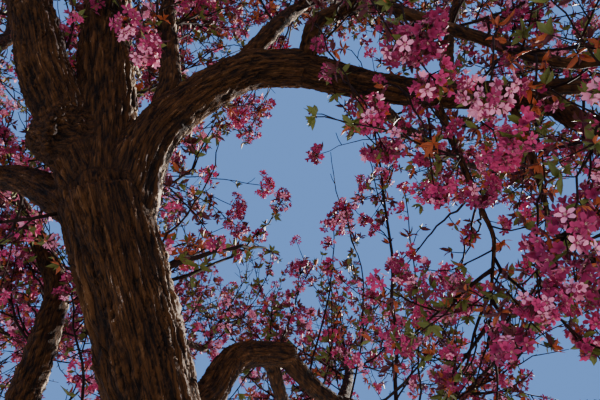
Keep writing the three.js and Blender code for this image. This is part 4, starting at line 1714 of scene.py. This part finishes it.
def whorl_tree() -> NodeTree:
    """Build the geometry tree that sets petals round a middle.

    Returns:
        The tree.
    """
    inputs = {"Petal": "Geometry", "Petals": 5, "Opening": 0.5, "Unevenness": 0.15, "Seed": 0}
    graph, given, end = group("Geometry", "petal_whorl", {**inputs, "Finish": "Material"}, Whorl="Geometry")
    points = graph.value("GeometryNodePoints", given["Petals"])
    step = graph.calc("DIVIDE", 2 * math.pi, given["Petals"])
    turn = graph.calc("MULTIPLY", graph.value("GeometryNodeInputIndex"), step)
    least = graph.calc("SUBTRACT", given["Opening"], given["Unevenness"])
    most = graph.calc("ADD", given["Opening"], given["Unevenness"])
    rotation = graph.turned(graph.random(least, most, given["Seed"]), turn)
    petals = graph.value("GeometryNodeInstanceOnPoints", points, Instance=given["Petal"], Rotation=rotation)
    graph.feed(end, Whorl=graph.dressed(petals, given["Finish"]))
    return graph.tree


def dealt_tree() -> NodeTree:
    """Build the geometry tree that deals one small shape out over points, each facing its own way.

    Returns:
        The tree.
    """
    inputs = {"Points": "Geometry", "Shape": "Object", "Least Size": 0.02, "Most Size": 0.03, "Seed": 0}
    graph, given, end = group("Geometry", "dealt_shapes", {**inputs, "Finish": "Material"}, Shapes="Geometry")
    facing = graph.value("GeometryNodeInputNamedAttribute", "facing", data_type="FLOAT_VECTOR")
    aimed = graph.value("FunctionNodeAlignRotationToVector", Vector=facing, axis="Z")
    roll = graph.turned(0.0, graph.random(0.0, 2 * math.pi, given["Seed"]))
    rotation = graph.value("FunctionNodeRotateRotation", aimed, roll, rotation_space="LOCAL")
    size = graph.random(given["Least Size"], given["Most Size"], graph.calc("ADD", given["Seed"], 1.0))
    shape = graph.add("GeometryNodeObjectInfo", given["Shape"]).outputs["Geometry"]
    shapes = {"Instance": shape, "Rotation": rotation, "Scale": size}
    dealt = graph.value("GeometryNodeInstanceOnPoints", given["Points"], **shapes)
    graph.feed(end, Shapes=graph.dressed(dealt, given["Finish"]))
    return graph.tree


# Streaks, flecks and seams: how far they are drawn out, how much finer they are, detail and roughness
FIBRE_NOISES = ((0.07, 1.0, 6.0, 0.74), (0.3, 1.6, 4.0, 0.65), (0.085, 0.55, 3.0, 0.55))
SEAM_WIDTH = 0.045


def fibre_group() -> NodeTree:
    """Build the shader group of fibres that run along wood, with flecks and dark seams between them.

    Returns:
        The group.
    """
    outputs = {"Streak": "Float", "Fleck": "Float", "Seam": "Float"}
    graph, given, end = group("Shader", "wood_fibre", {"Place": "Vector", "Scale": 100.0}, **outputs)
    noises = []
    for drawn_out, finer, detail, roughness in FIBRE_NOISES:
        drawn = (1.0, 1.0, drawn_out)
        place = graph.value("ShaderNodeVectorMath", given["Place"], drawn, operation="MULTIPLY")
        scale = graph.calc("MULTIPLY", given["Scale"], finer)
        noises.append(graph.value("ShaderNodeTexNoise", place, scale, detail, roughness))
    streak, fleck, line = noises
    off = graph.calc("ABSOLUTE", graph.calc("SUBTRACT", line, 0.5))
    graph.feed(end, Streak=streak, Fleck=fleck, Seam=graph.ranged(off, 0.0, SEAM_WIDTH, 0.0, 1.0))
    return graph.tree


def tone_group() -> NodeTree:
    """Build the shader group that tones wood by the height it is given, from its dark cracks to its pale
    ridges.

    Returns:
        The group.
    """
    tones = {"Crack": (0.01, 0.01, 0.01, 1), "Plate": (0.1, 0.06, 0.04, 1), "Ridge": (0.2, 0.15, 0.1, 1)}
    graph, given, end = group("Shader", "wood_tone", {"Height": 0.5, "Streak": 0.5, **tones}, Color="Color")
    streaks = graph.calc("MULTIPLY_ADD", given["Streak"], 1.9, -0.95)
    level = graph.calc("ADD", given["Height"], streaks)
    low, high = graph.ranged(level, 0.1, 0.62), graph.ranged(level, 0.72, 1.25)
    plate = graph.value("ShaderNodeMix", low, given["Crack"], given["Plate"], data_type="RGBA")
    graph.feed(end, Color=graph.value("ShaderNodeMix", high, plate, given["Ridge"], data_type="RGBA"))
    return graph.tree


@dataclass(frozen=True)
class WoodFinish:
    """Wood with fibres along it, toned from its cracks to its ridges."""

    fibre: NodeTree
    tone: NodeTree
    crack: Colour  # colour down in the cracks
    plate: Colour  # colour of the wood between them
    ridge: Colour  # colour of its ridges
    fibre_scale: float  # how fine the fibres are

    def fibres(self, graph: Graph, place: NodeSocket) -> list[NodeSocket]:
        """Return the streaks, flecks and seams of the fibres at a place."""
        return list(graph.add("ShaderNodeGroup", place, self.fibre_scale, node_tree=self.fibre).outputs)

    def toned(self, graph: Graph, height: NodeSocket, streak: NodeSocket) -> NodeSocket:
        """Return the colour of the wood at a height of its relief, with its streaks."""
        levels = (height, streak, self.crack, self.plate, self.ridge)
        return graph.value("ShaderNodeGroup", *levels, node_tree=self.tone)


def finish(name: str) -> tuple[Material, Graph, Node]:
    """Start a material.

    Args:
        name: its name.

    Returns:
        The material, its graph and its shader node.
    """
    material = bpy.data.materials.new(name)
    material.use_nodes = True
    graph = Graph(material.node_tree)
    shader = next(node for node in material.node_tree.nodes if node.type == "BSDF_PRINCIPLED")
    return material, graph, shader


@dataclass(frozen=True)
class BarkFinish(WoodFinish):
    """Old fissured bark: near black cracks, partly painted shade; warm brown plates; pale ridges, partly
    weathered and partly a painted highlight; and pale patches, weathered on the ridges and painted as sunlit
    on one side.
    """

    # Near black down in the fissures: the bark's own dark, with painted shade on top of it
    crack: Colour = (0.006, 0.003, 0.0015, 1)
    plate: Colour = (0.066, 0.024, 0.004, 1)
    # Pale on the ridges: partly weathered bark, partly a painted highlight
    ridge: Colour = (0.19, 0.085, 0.028, 1)
    fibre_scale: float = 135.0
    bleached_and_sunlit: Colour = (0.76, 0.62, 0.48, 1)  # colour of the palest patches: weathered bark on the ridges, and painted sunlight on the side that faces the sun's way
    painted_sun_side: Pair = (26, -4)  # heading and rise of the side that is painted as sunlit, paler the more the bark faces it
    patch_scale: float = 2.6  # how large those patches are
    bump: float = 0.007  # how far the fibres stand out
    gloss: float = 0.2  # how much it shines

    def make(self) -> Material:
        """Make the material.

        Returns:
            The bark.
        """
        material, graph, shader = finish("fissured_bark")
        grain = graph.add("ShaderNodeAttribute", attribute_name="grain").outputs["Vector"]
        relief = graph.add("ShaderNodeAttribute", attribute_name="relief").outputs["Fac"]
        streak, fleck, seam = self.fibres(graph, grain)
        height = graph.calc("MULTIPLY", relief, graph.ranged(seam, 0.0, 1.0, 0.3, 1.0))
        # The relief's height tones the bark: painted shade in the fissures and a painted highlight on the
        # ridges, over the bark's own dark and pale
        toned = self.toned(graph, height, streak)
        where = graph.add("ShaderNodeTexCoord").outputs["Object"]
        patch = graph.value("ShaderNodeTexNoise", where, self.patch_scale, 3.0, 0.6)
        tops = graph.calc("MULTIPLY", graph.calc("MULTIPLY", patch, fleck), height)
        # Bark that faces the sun's way is painted paler, a painted sunlit side, added to the pale weathered
        # patches on the ridges
        normal = graph.add("ShaderNodeNewGeometry").outputs["Normal"]
        sun = tuple(direction(*self.painted_sun_side))
        facing = graph.value("ShaderNodeVectorMath", normal, sun, operation="DOT_PRODUCT")
        weathered_and_sunlit = graph.calc("ADD", tops, graph.ranged(facing, 0.4, 1.0, 0.0, 0.24))
        mask = graph.ranged(weathered_and_sunlit, 0.3, 0.42, 0.0, 0.9)
        colour = graph.value("ShaderNodeMix", mask, toned, self.bleached_and_sunlit, data_type="RGBA")
        rough = graph.ranged(fleck, 0.3, 0.7, 0.8, 0.97)
        rise = graph.calc("ADD", graph.calc("ADD", streak, fleck), seam)
        bumped = graph.value("ShaderNodeBump", Strength=1.0, Distance=self.bump, Height=rise)
        graph.feed(shader, Base_Color=colour, Roughness=rough, Normal=bumped, Specular_IOR_Level=self.gloss)
        return material


@dataclass(frozen=True)
class TwigFinish(WoodFinish):
    """Young twigs: dark and slightly glossy, with paler streaks."""

    crack: Colour = (0.006, 0.003, 0.002, 1)
    plate: Colour = (0.02, 0.009, 0.006, 1)
    ridge: Colour = (0.055, 0.03, 0.02, 1)
    fibre_scale: float = 60.0
    roughness: float = 0.8
    gloss: float = 0.12

    def make(self) -> Material:
        """Make the material.

        Returns:
            The twigs' bark.
        """
        material, graph, shader = finish("twig_bark")
        streak, fleck, _ = self.fibres(graph, graph.add("ShaderNodeTexCoord").outputs["Object"])
        colour = self.toned(graph, fleck, streak)
        graph.feed(shader, Base_Color=colour, Roughness=self.roughness, Specular_IOR_Level=self.gloss)
        return material


@dataclass(frozen=True)
class PlainFinish:
    """A petal, leaf or bud of one plain colour, as the tints are dealt out by spray."""

    name: str
    colour: Triple
    roughness: float = 0.6
    sheen: float = 0.0  # how much soft sheen it has
    gloss: float = 0.25  # how much it shines

    def make(self) -> Material:
        """Make the material.

        Returns:
            The plain finish.
        """
        material, graph, shader = finish(self.name)
        colour, looks = (*self.colour, 1), {"Sheen_Weight": self.sheen, "Specular_IOR_Level": self.gloss}
        graph.feed(shader, Base_Color=colour, Roughness=self.roughness, **looks)
        return material


BLOSSOM_FINISHES = {
    Tint.DEEP: PlainFinish("blossom_deep", (0.285, 0.012, 0.07), 0.6, 0.1),
    Tint.ROSE: PlainFinish("blossom_rose", (0.53, 0.036, 0.14), 0.6, 0.1),
    Tint.PALE: PlainFinish("blossom_pale", (0.89, 0.32, 0.45), 0.6, 0.1),
}
LEAF_FINISHES = {
    Leaf.BRONZE: PlainFinish("leaf_bronze", (0.4, 0.09, 0.025), 0.55),
    Leaf.OLIVE: PlainFinish("leaf_olive", (0.12, 0.13, 0.022), 0.55),
    Leaf.MAROON: PlainFinish("leaf_maroon", (0.09, 0.018, 0.018), 0.5),
}
BUD_FINISH = PlainFinish("bud_crimson", (0.2, 0.01, 0.045), 0.45)
STALK_FINISH = PlainFinish("stalk_dark", (0.1, 0.045, 0.035), 0.6)
STAMEN_FINISH = PlainFinish("stamen_cream", (0.8, 0.62, 0.42), 0.7)


class Detail(Enum):
    """How finely the small shapes are made, by whether they are near the head-high view into the crown."""

    NEAR = True
    AWAY = False


@dataclass(frozen=True)
class PetalShape:
    """A cupped petal that lies along +Y from the middle of its flower, one long."""

    root: float = 0.04  # distance of its foot from the middle
    waist: float = 0.62  # half its width halfway to the shoulder, as a share of the shoulder's
    shoulder: Pair = (0.28, 0.62)  # half its width, and how far out that is
    brow: Pair = (0.14, 0.97)  # half its width at the end, and how far out that is
    tip: float = 1.06  # how far out a plain petal ends
    cup: float = 1.2  # how far its edges rise
    curl: float = 0.12  # how far its end turns back

    def mesh(self, detail: Detail) -> Mesh:
        """Make the petal.

        Args:
            detail: near the view it has seven faces, and away from it two.

        Returns:
            Its mesh.
        """
        (wide, wide_at), (top, top_at) = self.shoulder, self.brow
        if detail is Detail.NEAR:
            right = [(wide * self.waist, wide_at * 0.5), (wide, wide_at), (top, top_at)]
            left = [(-x, y) for x, y in reversed(right)]
            outline = [(0.0, wide_at), (0.0, self.root), *right, *left]
            faces = [(0, 1 + i, 1 + (i + 1) % 7) for i in range(7)]
        else:
            outline = [(0.0, self.root), (wide, wide_at), (0.0, self.tip), (-wide, wide_at)]
            faces = [(0, 1, 3), (1, 2, 3)]
        points = [(x, y, self.cup * x * x - self.curl * y * y) for x, y in outline]
        return mesh_of("petal", np.array(points), np.array(faces))


def stamen_mesh() -> Mesh:
    """Make a tuft of five narrow stamens that stand up from a flower's middle.

    Returns:
        Its mesh.
    """
    points = []
    for i in range(5):
        turn = i * math.tau / 5 + 0.4
        way = np.array([math.cos(turn), math.sin(turn), 0])
        square = np.array([-way[1], way[0], 0])
        points += [way * 0.02 + square * 0.04, way * 0.02 - square * 0.04, way * 0.22 + UP * 0.38]
    return mesh_of("stamens", np.array(points), np.arange(15).reshape(5, 3), smooth=False)


def bud_mesh(sides: int) -> Mesh:
    """Make a pointed round bud along +Z, one in radius.

    Args:
        sides: how many sides it has, of two faces each.

    Returns:
        Its mesh.
    """
    ring = [(math.cos(i * math.tau / sides), math.sin(i * math.tau / sides), 1.0) for i in range(sides)]
    points = np.array([(0.0, 0.0, -0.1), *ring, (0.0, 0.0, 2.4)])
    faces = []
    for i in range(sides):
        here, beside = 1 + i, 1 + (i + 1) % sides
        faces += [(0, beside, here), (sides + 1, here, beside)]
    return mesh_of("bud", points, np.array(faces))


@dataclass(frozen=True)
class LeafShape:
    """A pointed leaf along +Z, folded along its rib, one long."""

    width: float  # half its width
    fold: float  # how far its edges rise from the rib
    curl: float  # how far its tip bends back

    def mesh(self, detail: Detail) -> Mesh:
        """Make the leaf.

        Args:
            detail: near the view it has six faces, and away from it two.

        Returns:
            Its mesh.
        """
        w, f, c = self.width, self.fold, self.curl
        if detail is Detail.AWAY:
            points = [(0, 0, 0), (w * 1.15, f, 0.45), (0, -c * 0.6, 1), (-w * 1.15, f, 0.45)]
            faces = [(0, 1, 2), (0, 2, 3)]
        else:
            rib = [(0, 0, 0), (0, 0.02, 0.5), (0, -c, 1)]
            edge = [(w, f, 0.3), (w * 0.85, f - c * 0.4, 0.68)]
            points = [*rib, *edge, *((-x, y, z) for x, y, z in edge)]
            faces = [(0, 3, 1), (3, 4, 1), (4, 2, 1), (0, 1, 5), (5, 1, 6), (6, 1, 2)]
        return mesh_of("leaf", np.array(points), np.array(faces), smooth=False)


LEAF_SHAPES = {
    Leaf.BRONZE: LeafShape(0.17, 0.1, 0.16),
    Leaf.OLIVE: LeafShape(0.2, 0.07, 0.08),
    Leaf.MAROON: LeafShape(0.16, 0.12, 0.14),
}


def fanned(axes: Array, pitch: Array, turn: Array) -> Array:
    """Lean away from many axes at once.

    Args:
        axes: the unit vectors to lean from.
        pitch: how far, in radians.
        turn: which way round each axis, in radians.

    Returns:
        Unit vectors.
    """
    up = np.where(np.abs(axes[:, 2:]) < 0.9, UP, (1.0, 0.0, 0.0))
    side = units(np.cross(up, axes))
    round_it = side * np.cos(turn)[:, None] + np.cross(axes, side) * np.sin(turn)[:, None]
    return axes * np.cos(pitch)[:, None] + round_it * np.sin(pitch)[:, None]


@dataclass
class Stalks:
    """Stalks of flowers and buds: each a slim three-sided spike, or a sliver away from the view."""

    radius: float = 0.0011  # radius of a stalk at its foot
    # Where some stalks start and end, and which of them are near the view
    groups: list[tuple[Array, Array, Array]] = field(default_factory=list)

    def _spikes(self, feet: Array, tips: Array, sides: int) -> tuple[Array, Array]:
        """Make spikes.

        Args:
            feet: where they start.
            tips: where they end.
            sides: their number of sides, of which two make a flat sliver.

        Returns:
            Their points and faces.
        """
        ways, count = units(tips - feet), len(feet)
        right = np.full(count, math.pi / 2)
        turns = [right * 0 + i * math.tau / sides for i in range(sides)]
        corners = [feet + self.radius * fanned(ways, right, turn) for turn in turns]
        n = np.arange(count)
        pairs = [(i, (i + 1) % sides) for i in range(1 if sides == 2 else sides)]
        faces = [np.column_stack([n + a * count, n + b * count, n + sides * count]) for a, b in pairs]
        return np.concatenate([*corners, tips]), np.vstack(faces)

    def build(self) -> Object:
        """Build all the stalks.

        Returns:
            The finished piece.
        """
        feet, tips, near = (np.concatenate(column) for column in zip(*self.groups))
        parts = [self._spikes(feet[near], tips[near], 3), self._spikes(feet[~near], tips[~near], 2)]
        return placed("stalks", mesh_of("stalks", *joined(parts)), STALK_FINISH.make())


@dataclass
class Clusters:
    """Every cluster of blossom and leaves, dealt out from the sprays."""

    sprays: list[Spray]  # the short shoots with their tints
    seed: int = 5  # seed of every draw here
    # Least number of flowers, buds, leaves beside blossom and leaves alone, and one more than the most
    flowers: tuple[int, int] = (6, 10)
    buds: tuple[int, int] = (0, 3)
    leaves_beside: tuple[int, int] = (2, 5)
    leaves_alone: tuple[int, int] = (4, 10)
    # Least and most length of a flower's stalk, a petal and a leaf, and radius of a bud
    stalk: Pair = (0.022, 0.04)
    petal: Pair = (0.022, 0.029)
    leaf: Pair = (0.034, 0.062)
    bud: Pair = (0.0036, 0.0052)
    # Least and most lean of flowers, buds and leaves away from their shoot
    flower_lean: Pair = (8, 105)
    bud_lean: Pair = (5, 60)
    leaf_lean: Pair = (28, 88)
    openings: Pair = (0.9, 0.35)  # tilt of a half-open flower's petals and of a wide open one's, in radians
    wide_share: float = 0.6  # share of flowers that are wide open
    bud_stalk: float = 0.8  # length of a bud's stalk as a share of a flower's
    near_heart: Triple = (0.95, -0.55, 2.25)  # middle of what is seen closest by
    near_reach: float = 1.35  # distance from there within which shapes are fine
    strays: float = 0.36  # share of flowers and leaves that take a tint at random
    # How many times a metre the crown opens, and how much of the noise that opens it is open
    gaps: Pair = (2.3, -0.22)
    # Size of a flower's deep heart as a share of its petals', and the tilt of its petals
    heart: Pair = (0.45, 0.42)
    heart_lift: float = 0.0009  # how far the heart stands above the flower's middle
    stray: float = 25  # how far the turn of a flower, bud or leaf round its shoot strays
    wobble: float = 0.3  # how far the way a flower faces strays
    tint_seeds: int = 10  # how far apart the seeds of two tints' flowers are
    heart_seeds: tuple[int, int] = (9, 55)  # seeds of the deep hearts' petals and of the hearts
    stamen_seed: int = 51
    leaf_seed: int = 70
    # Sides and seeds of the near buds, of the others and of the calyxes
    bud_sorts: tuple[tuple[int, int], ...] = ((4, 64), (3, 63), (3, 67))

    def __post_init__(self) -> None:
        """Gather the shoots of all sprays, leave those in the gaps bare, and build the trees."""
        self.rng = np.random.default_rng(self.seed)
        tints, leaves = list(Tint), list(Leaf)
        rows = [
            (*shoot, tints.index(spray.tint), leaves.index(spray.leaf), spray.ball)
            for spray in self.sprays
            for shoot in spray.shoots
        ]
        columns = [np.array(column) for column in zip(*rows)]
        clothed = columns[-1] | (Noise(self.seed)(columns[0] * self.gaps[0]) > self.gaps[1])
        kept = [column[clothed] for column in columns[:-1]]
        self.places, self.ways, self.blooms, self.tint, self.leaf_tint = kept
        self.near = lengths(self.places - self.near_heart) < self.near_reach
        self.whorl, self.dealt = whorl_tree(), dealt_tree()
        self.stalks = Stalks()

    def _strayed(self, tints: Array, kinds: int) -> Array:
        """Return the tints with some of them dealt anew."""
        stray = self.rng.random(len(tints)) < self.strays
        return np.where(stray, self.rng.integers(0, kinds, len(tints)), tints)

    def _spread(self, index: Array, lean: Pair) -> Array:
        """Spread the members of each cluster round its shoot.

        Args:
            index: the shoot that each member belongs to.
            lean: least and most lean away from the shoot.

        Returns:
            A direction for each member.
        """
        pitch = np.radians(self.rng.uniform(*lean, len(index)))
        turn = np.arange(len(index)) * GOLDEN_ANGLE + self.rng.uniform(-self.stray, self.stray, len(index))
        return fanned(self.ways[index], pitch, np.radians(turn))

    def _deal(
        self, shape: Mesh, places: Array, facing: Array, sizes: Pair, seed: int, material: Material
    ) -> Mesh:
        """Deal a shape out over places.

        Args:
            shape: the small mesh.
            places: where each copy goes.
            facing: the way its +Z points.
            sizes: least and most size.
            seed: seed of its rolls and sizes.
            material: its finish.

        Returns:
            All the copies as one mesh.
        """
        points = mesh_of("places", places)
        give(points, "facing", facing)
        model = placed("model", shape)
        size = {"Least_Size": sizes[0], "Most_Size": sizes[1]}
        mesh = grown_by(self.dealt, placed("places", points), Shape=model, Seed=seed, Finish=material, **size)
        bpy.data.objects.remove(model)
        return mesh

    def _flower(self, detail: Detail, opening: float, material: Material, seed: int) -> Mesh:
        """Return one flower, a petal's length in radius, with its petals tilted above flat."""
        petal = placed("petal", PetalShape().mesh(detail))
        return grown_by(self.whorl, petal, Petals=5, Opening=opening, Seed=seed, Finish=material)

    def blossom(self) -> list[Object]:
        """Build the flowers of each tint, the deep hearts of the near open ones, and their stamens.

        Returns:
            The finished pieces.
        """
        rng = self.rng
        shoots = np.flatnonzero(self.blooms)
        index = np.repeat(shoots, rng.integers(*self.flowers, len(shoots)))
        ways = self._spread(index, self.flower_lean)
        places = self.places[index] + ways * rng.uniform(*self.stalk, len(index))[:, None]
        near = self.near[index]
        self.stalks.groups.append((self.places[index], places, near))
        facing = units(ways + rng.normal(0, self.wobble, ways.shape))
        self.calyxes = places[near], -facing[near]
        tint = self._strayed(self.tint[index], len(Tint))
        wide = rng.random(len(index)) < self.wide_share
        hearts, outward = places[near & wide], facing[near & wide]
        pieces = []
        for t, kind in enumerate(Tint):
            material, parts = BLOSSOM_FINISHES[kind].make(), []
            for detail, (opened, opening) in product(Detail, enumerate(self.openings)):
                chosen = (tint == t) & (near == detail.value) & (wide == bool(opened))
                if not chosen.any():
                    continue
                seed = self.tint_seeds * t + len(parts)
                flower = self._flower(detail, opening, material, seed)
                parts.append(self._deal(flower, places[chosen], facing[chosen], self.petal, seed, material))
            if kind is Tint.DEEP:
                share, opening = self.heart
                heart = self._flower(Detail.AWAY, opening, material, self.heart_seeds[0])
                sizes = (share * self.petal[0], share * self.petal[1])
                lifted = hearts + outward * self.heart_lift
                parts.append(self._deal(heart, lifted, outward, sizes, self.heart_seeds[1], material))
            pieces.append(merged(BLOSSOM_FINISHES[kind].name, parts, material))
        cream = STAMEN_FINISH.make()
        tuft = sum(self.petal) / 2
        tufts = self._deal(stamen_mesh(), hearts, outward, (tuft, tuft), self.stamen_seed, cream)
        return [*pieces, merged("stamens", [tufts], cream)]

    def all_buds(self) -> Object:
        """Build the buds, of which leafy shoots have some too, and the near flowers' calyxes.

        Returns:
            The finished piece.
        """
        rng = self.rng
        index = np.repeat(np.arange(len(self.places)), rng.integers(*self.buds, len(self.places)))
        ways = self._spread(index, self.bud_lean)
        tips = self.places[index] + ways * (rng.uniform(*self.stalk, len(index)) * self.bud_stalk)[:, None]
        near = self.near[index]
        self.stalks.groups.append((self.places[index], tips, near))
        crimson = BUD_FINISH.make()
        sorts = (tips[near], ways[near]), (tips[~near], ways[~near]), self.calyxes
        parts = [
            self._deal(bud_mesh(sides), at, way, self.bud, seed, crimson)
            for (sides, seed), (at, way) in zip(self.bud_sorts, sorts)
        ]
        return merged("buds", parts, crimson)

    def leaves(self) -> list[Object]:
        """Build the leaves of each tint.

        Returns:
            The finished pieces.
        """
        rng, count = self.rng, len(self.places)
        beside, alone = rng.integers(*self.leaves_beside, count), rng.integers(*self.leaves_alone, count)
        index = np.repeat(np.arange(count), np.where(self.blooms, beside, alone))
        ways = self._spread(index, self.leaf_lean)
        tint = self._strayed(self.leaf_tint[index], len(Leaf))
        near = self.near[index]
        pieces = []
        for t, kind in enumerate(Leaf):
            material = LEAF_FINISHES[kind].make()
            parts = []
            for detail in Detail:
                chosen = (tint == t) & (near == detail.value)
                shape, places = LEAF_SHAPES[kind].mesh(detail), self.places[index[chosen]]
                parts.append(self._deal(shape, places, ways[chosen], self.leaf, self.leaf_seed + t, material))
            pieces.append(merged(LEAF_FINISHES[kind].name, parts, material))
        return pieces


def merged(name: str, meshes: list[Mesh], material: Material) -> Object:
    """Join meshes of one material into one piece.

    Args:
        name: the piece's name.
        meshes: what it is made of, which is used up.
        material: its finish.

    Returns:
        The finished piece.
    """
    parts = []
    for mesh in meshes:
        mesh.calc_loop_triangles()
        faces = np.empty(len(mesh.loop_triangles) * 3, np.int32)
        mesh.loop_triangles.foreach_get("vertices", faces)
        parts.append((rows_of(mesh.vertices, "co"), faces.reshape(-1, 3)))
    smooth = any(mesh.polygons[0].use_smooth for mesh in meshes)
    whole = mesh_of(name, *joined(parts), smooth=smooth)
    for mesh in meshes:
        bpy.data.meshes.remove(mesh)
    return placed(name, whole, material)


def chains(strands: Sequence[Strand]) -> Mesh:
    """Lay twigs out as chains of edges that carry their girth.

    Args:
        strands: the twigs.

    Returns:
        Their mesh.
    """
    links = []
    for strand in strands:
        n = len(strand.points)
        links.append((strand.points, np.column_stack([np.arange(n - 1), np.arange(1, n)])))
    points, edges = joined(links)
    mesh = mesh_of("chains", points)
    fill(mesh.edges, "vertices", edges, np.int32)
    give(mesh, "girth", np.concatenate([strand.radii for strand in strands]))
    return mesh


# Each piece of twigs by the radius of their foot, above the least and up to the most, and their sides
STOUT_FROM = 0.0055
TWIG_SIZES = (
    ("stout_twigs", STOUT_FROM, math.inf, 5),
    ("fine_twigs", SPURS.radius[0], STOUT_FROM, 3),
    ("spurs", 0, SPURS.radius[0], 3),
)


def twig_pieces(strands: Sequence[Strand], material: Material) -> list[Object]:
    """Build the stout and the fine twigs, and the spurs.

    Args:
        strands: every twig.
        material: their bark.

    Returns:
        The finished pieces.
    """
    tree = twig_tree()
    pieces = []
    for name, least, most, sides in TWIG_SIZES:
        some = [strand for strand in strands if least < strand.radii[0] <= most]
        mesh = grown_by(tree, placed(name, chains(some)), Sides=sides, Bark=material)
        pieces.append(merged(name, [mesh], material))
    return pieces


@dataclass(frozen=True)
class Eye:
    """The camera, where the photo's stood."""

    pitch: float = 36  # how far it looks up
    roll: float = -8  # how far it is rolled
    lens: float = 27.7  # focal length in millimetres
    sensor: float = 36  # width of the sensor in millimetres
    sight: float = 200  # how far it sees

    def make(self) -> None:
        """Put the camera in the scene."""
        data = bpy.data.cameras.new("eye")
        data.lens, data.sensor_width, data.clip_end = self.lens, self.sensor, self.sight
        camera = bpy.data.objects.new("eye", data)
        raised = Matrix.Rotation(math.radians(90 + self.pitch), 4, "X")
        rolled = Matrix.Rotation(math.radians(self.roll), 4, "Z")
        camera.matrix_world = Matrix.Translation(LOOKOUT) @ raised @ rolled
        bpy.context.scene.collection.objects.link(camera)
        bpy.context.scene.camera = camera


@dataclass(frozen=True)
class Lamp:
    """A soft sun."""

    name: str
    heading: float  # heading that its light comes from
    rise: float  # how high it stands
    strength: float
    softness: float  # angle of its disc
    colour: Triple

    def make(self) -> None:
        """Put it in the scene."""
        data = bpy.data.lights.new(self.name, "SUN")
        data.energy, data.angle, data.color = self.strength, math.radians(self.softness), self.colour
        lamp = bpy.data.objects.new(self.name, data)
        lamp.rotation_euler = Vector(direction(self.heading, self.rise)).to_track_quat("Z", "Y").to_euler()
        bpy.context.scene.collection.objects.link(lamp)


@dataclass(frozen=True)
class Studio:
    """A plain pale floor and soft light, strongest from behind on the right, low."""

    floor: float = 60.0  # half the floor's width
    floor_drop: float = 0.002  # how far it lies below the tree's cut
    floor_finish: PlainFinish = PlainFinish("studio_floor", (0.62, 0.62, 0.6), 0.9)
    sky: Colour = (0.16, 0.34, 0.8, 1)  # colour of the surroundings
    sky_strength: float = 0.95
    lamps: tuple[Lamp, ...] = (
        Lamp("key", 58, 16, 14, 2.5, (1.0, 0.93, 0.84)),
        Lamp("fill", -75, 30, 1.5, 60, (1.0, 0.8, 0.64)),
    )

    def make(self) -> None:
        """Put the floor, the surroundings and the lights in the scene."""
        corners = np.array([(-1, -1, 0), (1, -1, 0), (1, 1, 0), (-1, 1, 0)]) * self.floor
        corners[:, 2] = -self.floor_drop
        mesh = mesh_of("floor", corners, np.array([(0, 1, 2, 3)]))
        placed("floor", mesh, self.floor_finish.make())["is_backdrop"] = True
        world = bpy.data.worlds.new("studio")
        world.use_nodes = True
        background = next(node for node in world.node_tree.nodes if node.type == "BACKGROUND")
        Graph(world.node_tree).feed(background, self.sky, self.sky_strength)
        bpy.context.scene.world = world
        for lamp in self.lamps:
            lamp.make()


def settle(piece: Object, nodes: Sequence[str]) -> None:
    """Fix a finished piece to the tree's body and let it stand for its nodes.

    Args:
        piece: the finished piece.
        nodes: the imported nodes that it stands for.
    """
    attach(piece, "root")
    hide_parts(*nodes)
    piece.data.calc_loop_triangles()
    log.info("%s: %d triangles", piece.name, len(piece.data.loop_triangles))


def foliage(limbs: dict[str, Limb], low: Array, high: Array) -> tuple[list[Strand], list[Spray]]:
    """Grow the foliage of every mass and the shoots along the limbs.

    Args:
        limbs: all limbs by name.
        low: least corner of the crown.
        high: greatest corner of the crown.

    Returns:
        All twigs, and all sprays.
    """
    wood = Wood(limbs)
    crowned = [limb for limb in limbs.values() if limb.plan.mass]
    spaces = [Space(limb, i + 1) for i, limb in enumerate(crowned)]
    for space in spaces:
        space.settle(spaces)
    growths: list[Growth] = [Mass(space, wood) for space in spaces]
    bare = ("trunk", "lopped_knob")
    for i, limb in enumerate(limbs.values()):
        if limb.name not in bare:
            growths.append(Shoots(limb, i, wood, low, high))
    growths.append(LoneShoots(limbs, wood))
    strands, sprays = [], []
    for growth in growths:
        growth.grow()
        strands += growth.strands
        sprays += growth.sprays
    log.info("foliage: %d shoots", sum(len(spray.shoots) for spray in sprays))
    return strands, sprays


def main() -> None:
    """Build the whole tree in order."""
    logging.basicConfig(level=logging.INFO, format="%(message)s")
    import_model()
    cad_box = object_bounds()
    Eye().make()
    Studio().make()
    limbs = all_limbs()
    fibre, tone = fibre_group(), tone_group()
    bark = BarkFinish(fibre, tone).make()
    twig_bark = TwigFinish(fibre, tone).make()
    main_bark = MainBark(limbs)
    settle(main_bark.build(bark), main_bark.names)
    slim = [name for name in limbs if name not in main_bark.names]
    settle(LimbBark(limbs, main_bark.names).build(bark), slim)
    masses = [f"{name}_foliage" for name, limb in limbs.items() if limb.plan.mass]
    strands, sprays = foliage(limbs, *(np.array(corner) for corner in cad_box))
    for piece in twig_pieces(strands, twig_bark):
        settle(piece, masses)
    clusters = Clusters(sprays)
    pieces = [*clusters.blossom(), clusters.all_buds(), *clusters.leaves(), clusters.stalks.build()]
    for piece in pieces:
        settle(piece, masses)


if __name__ == "__main__":
    main()
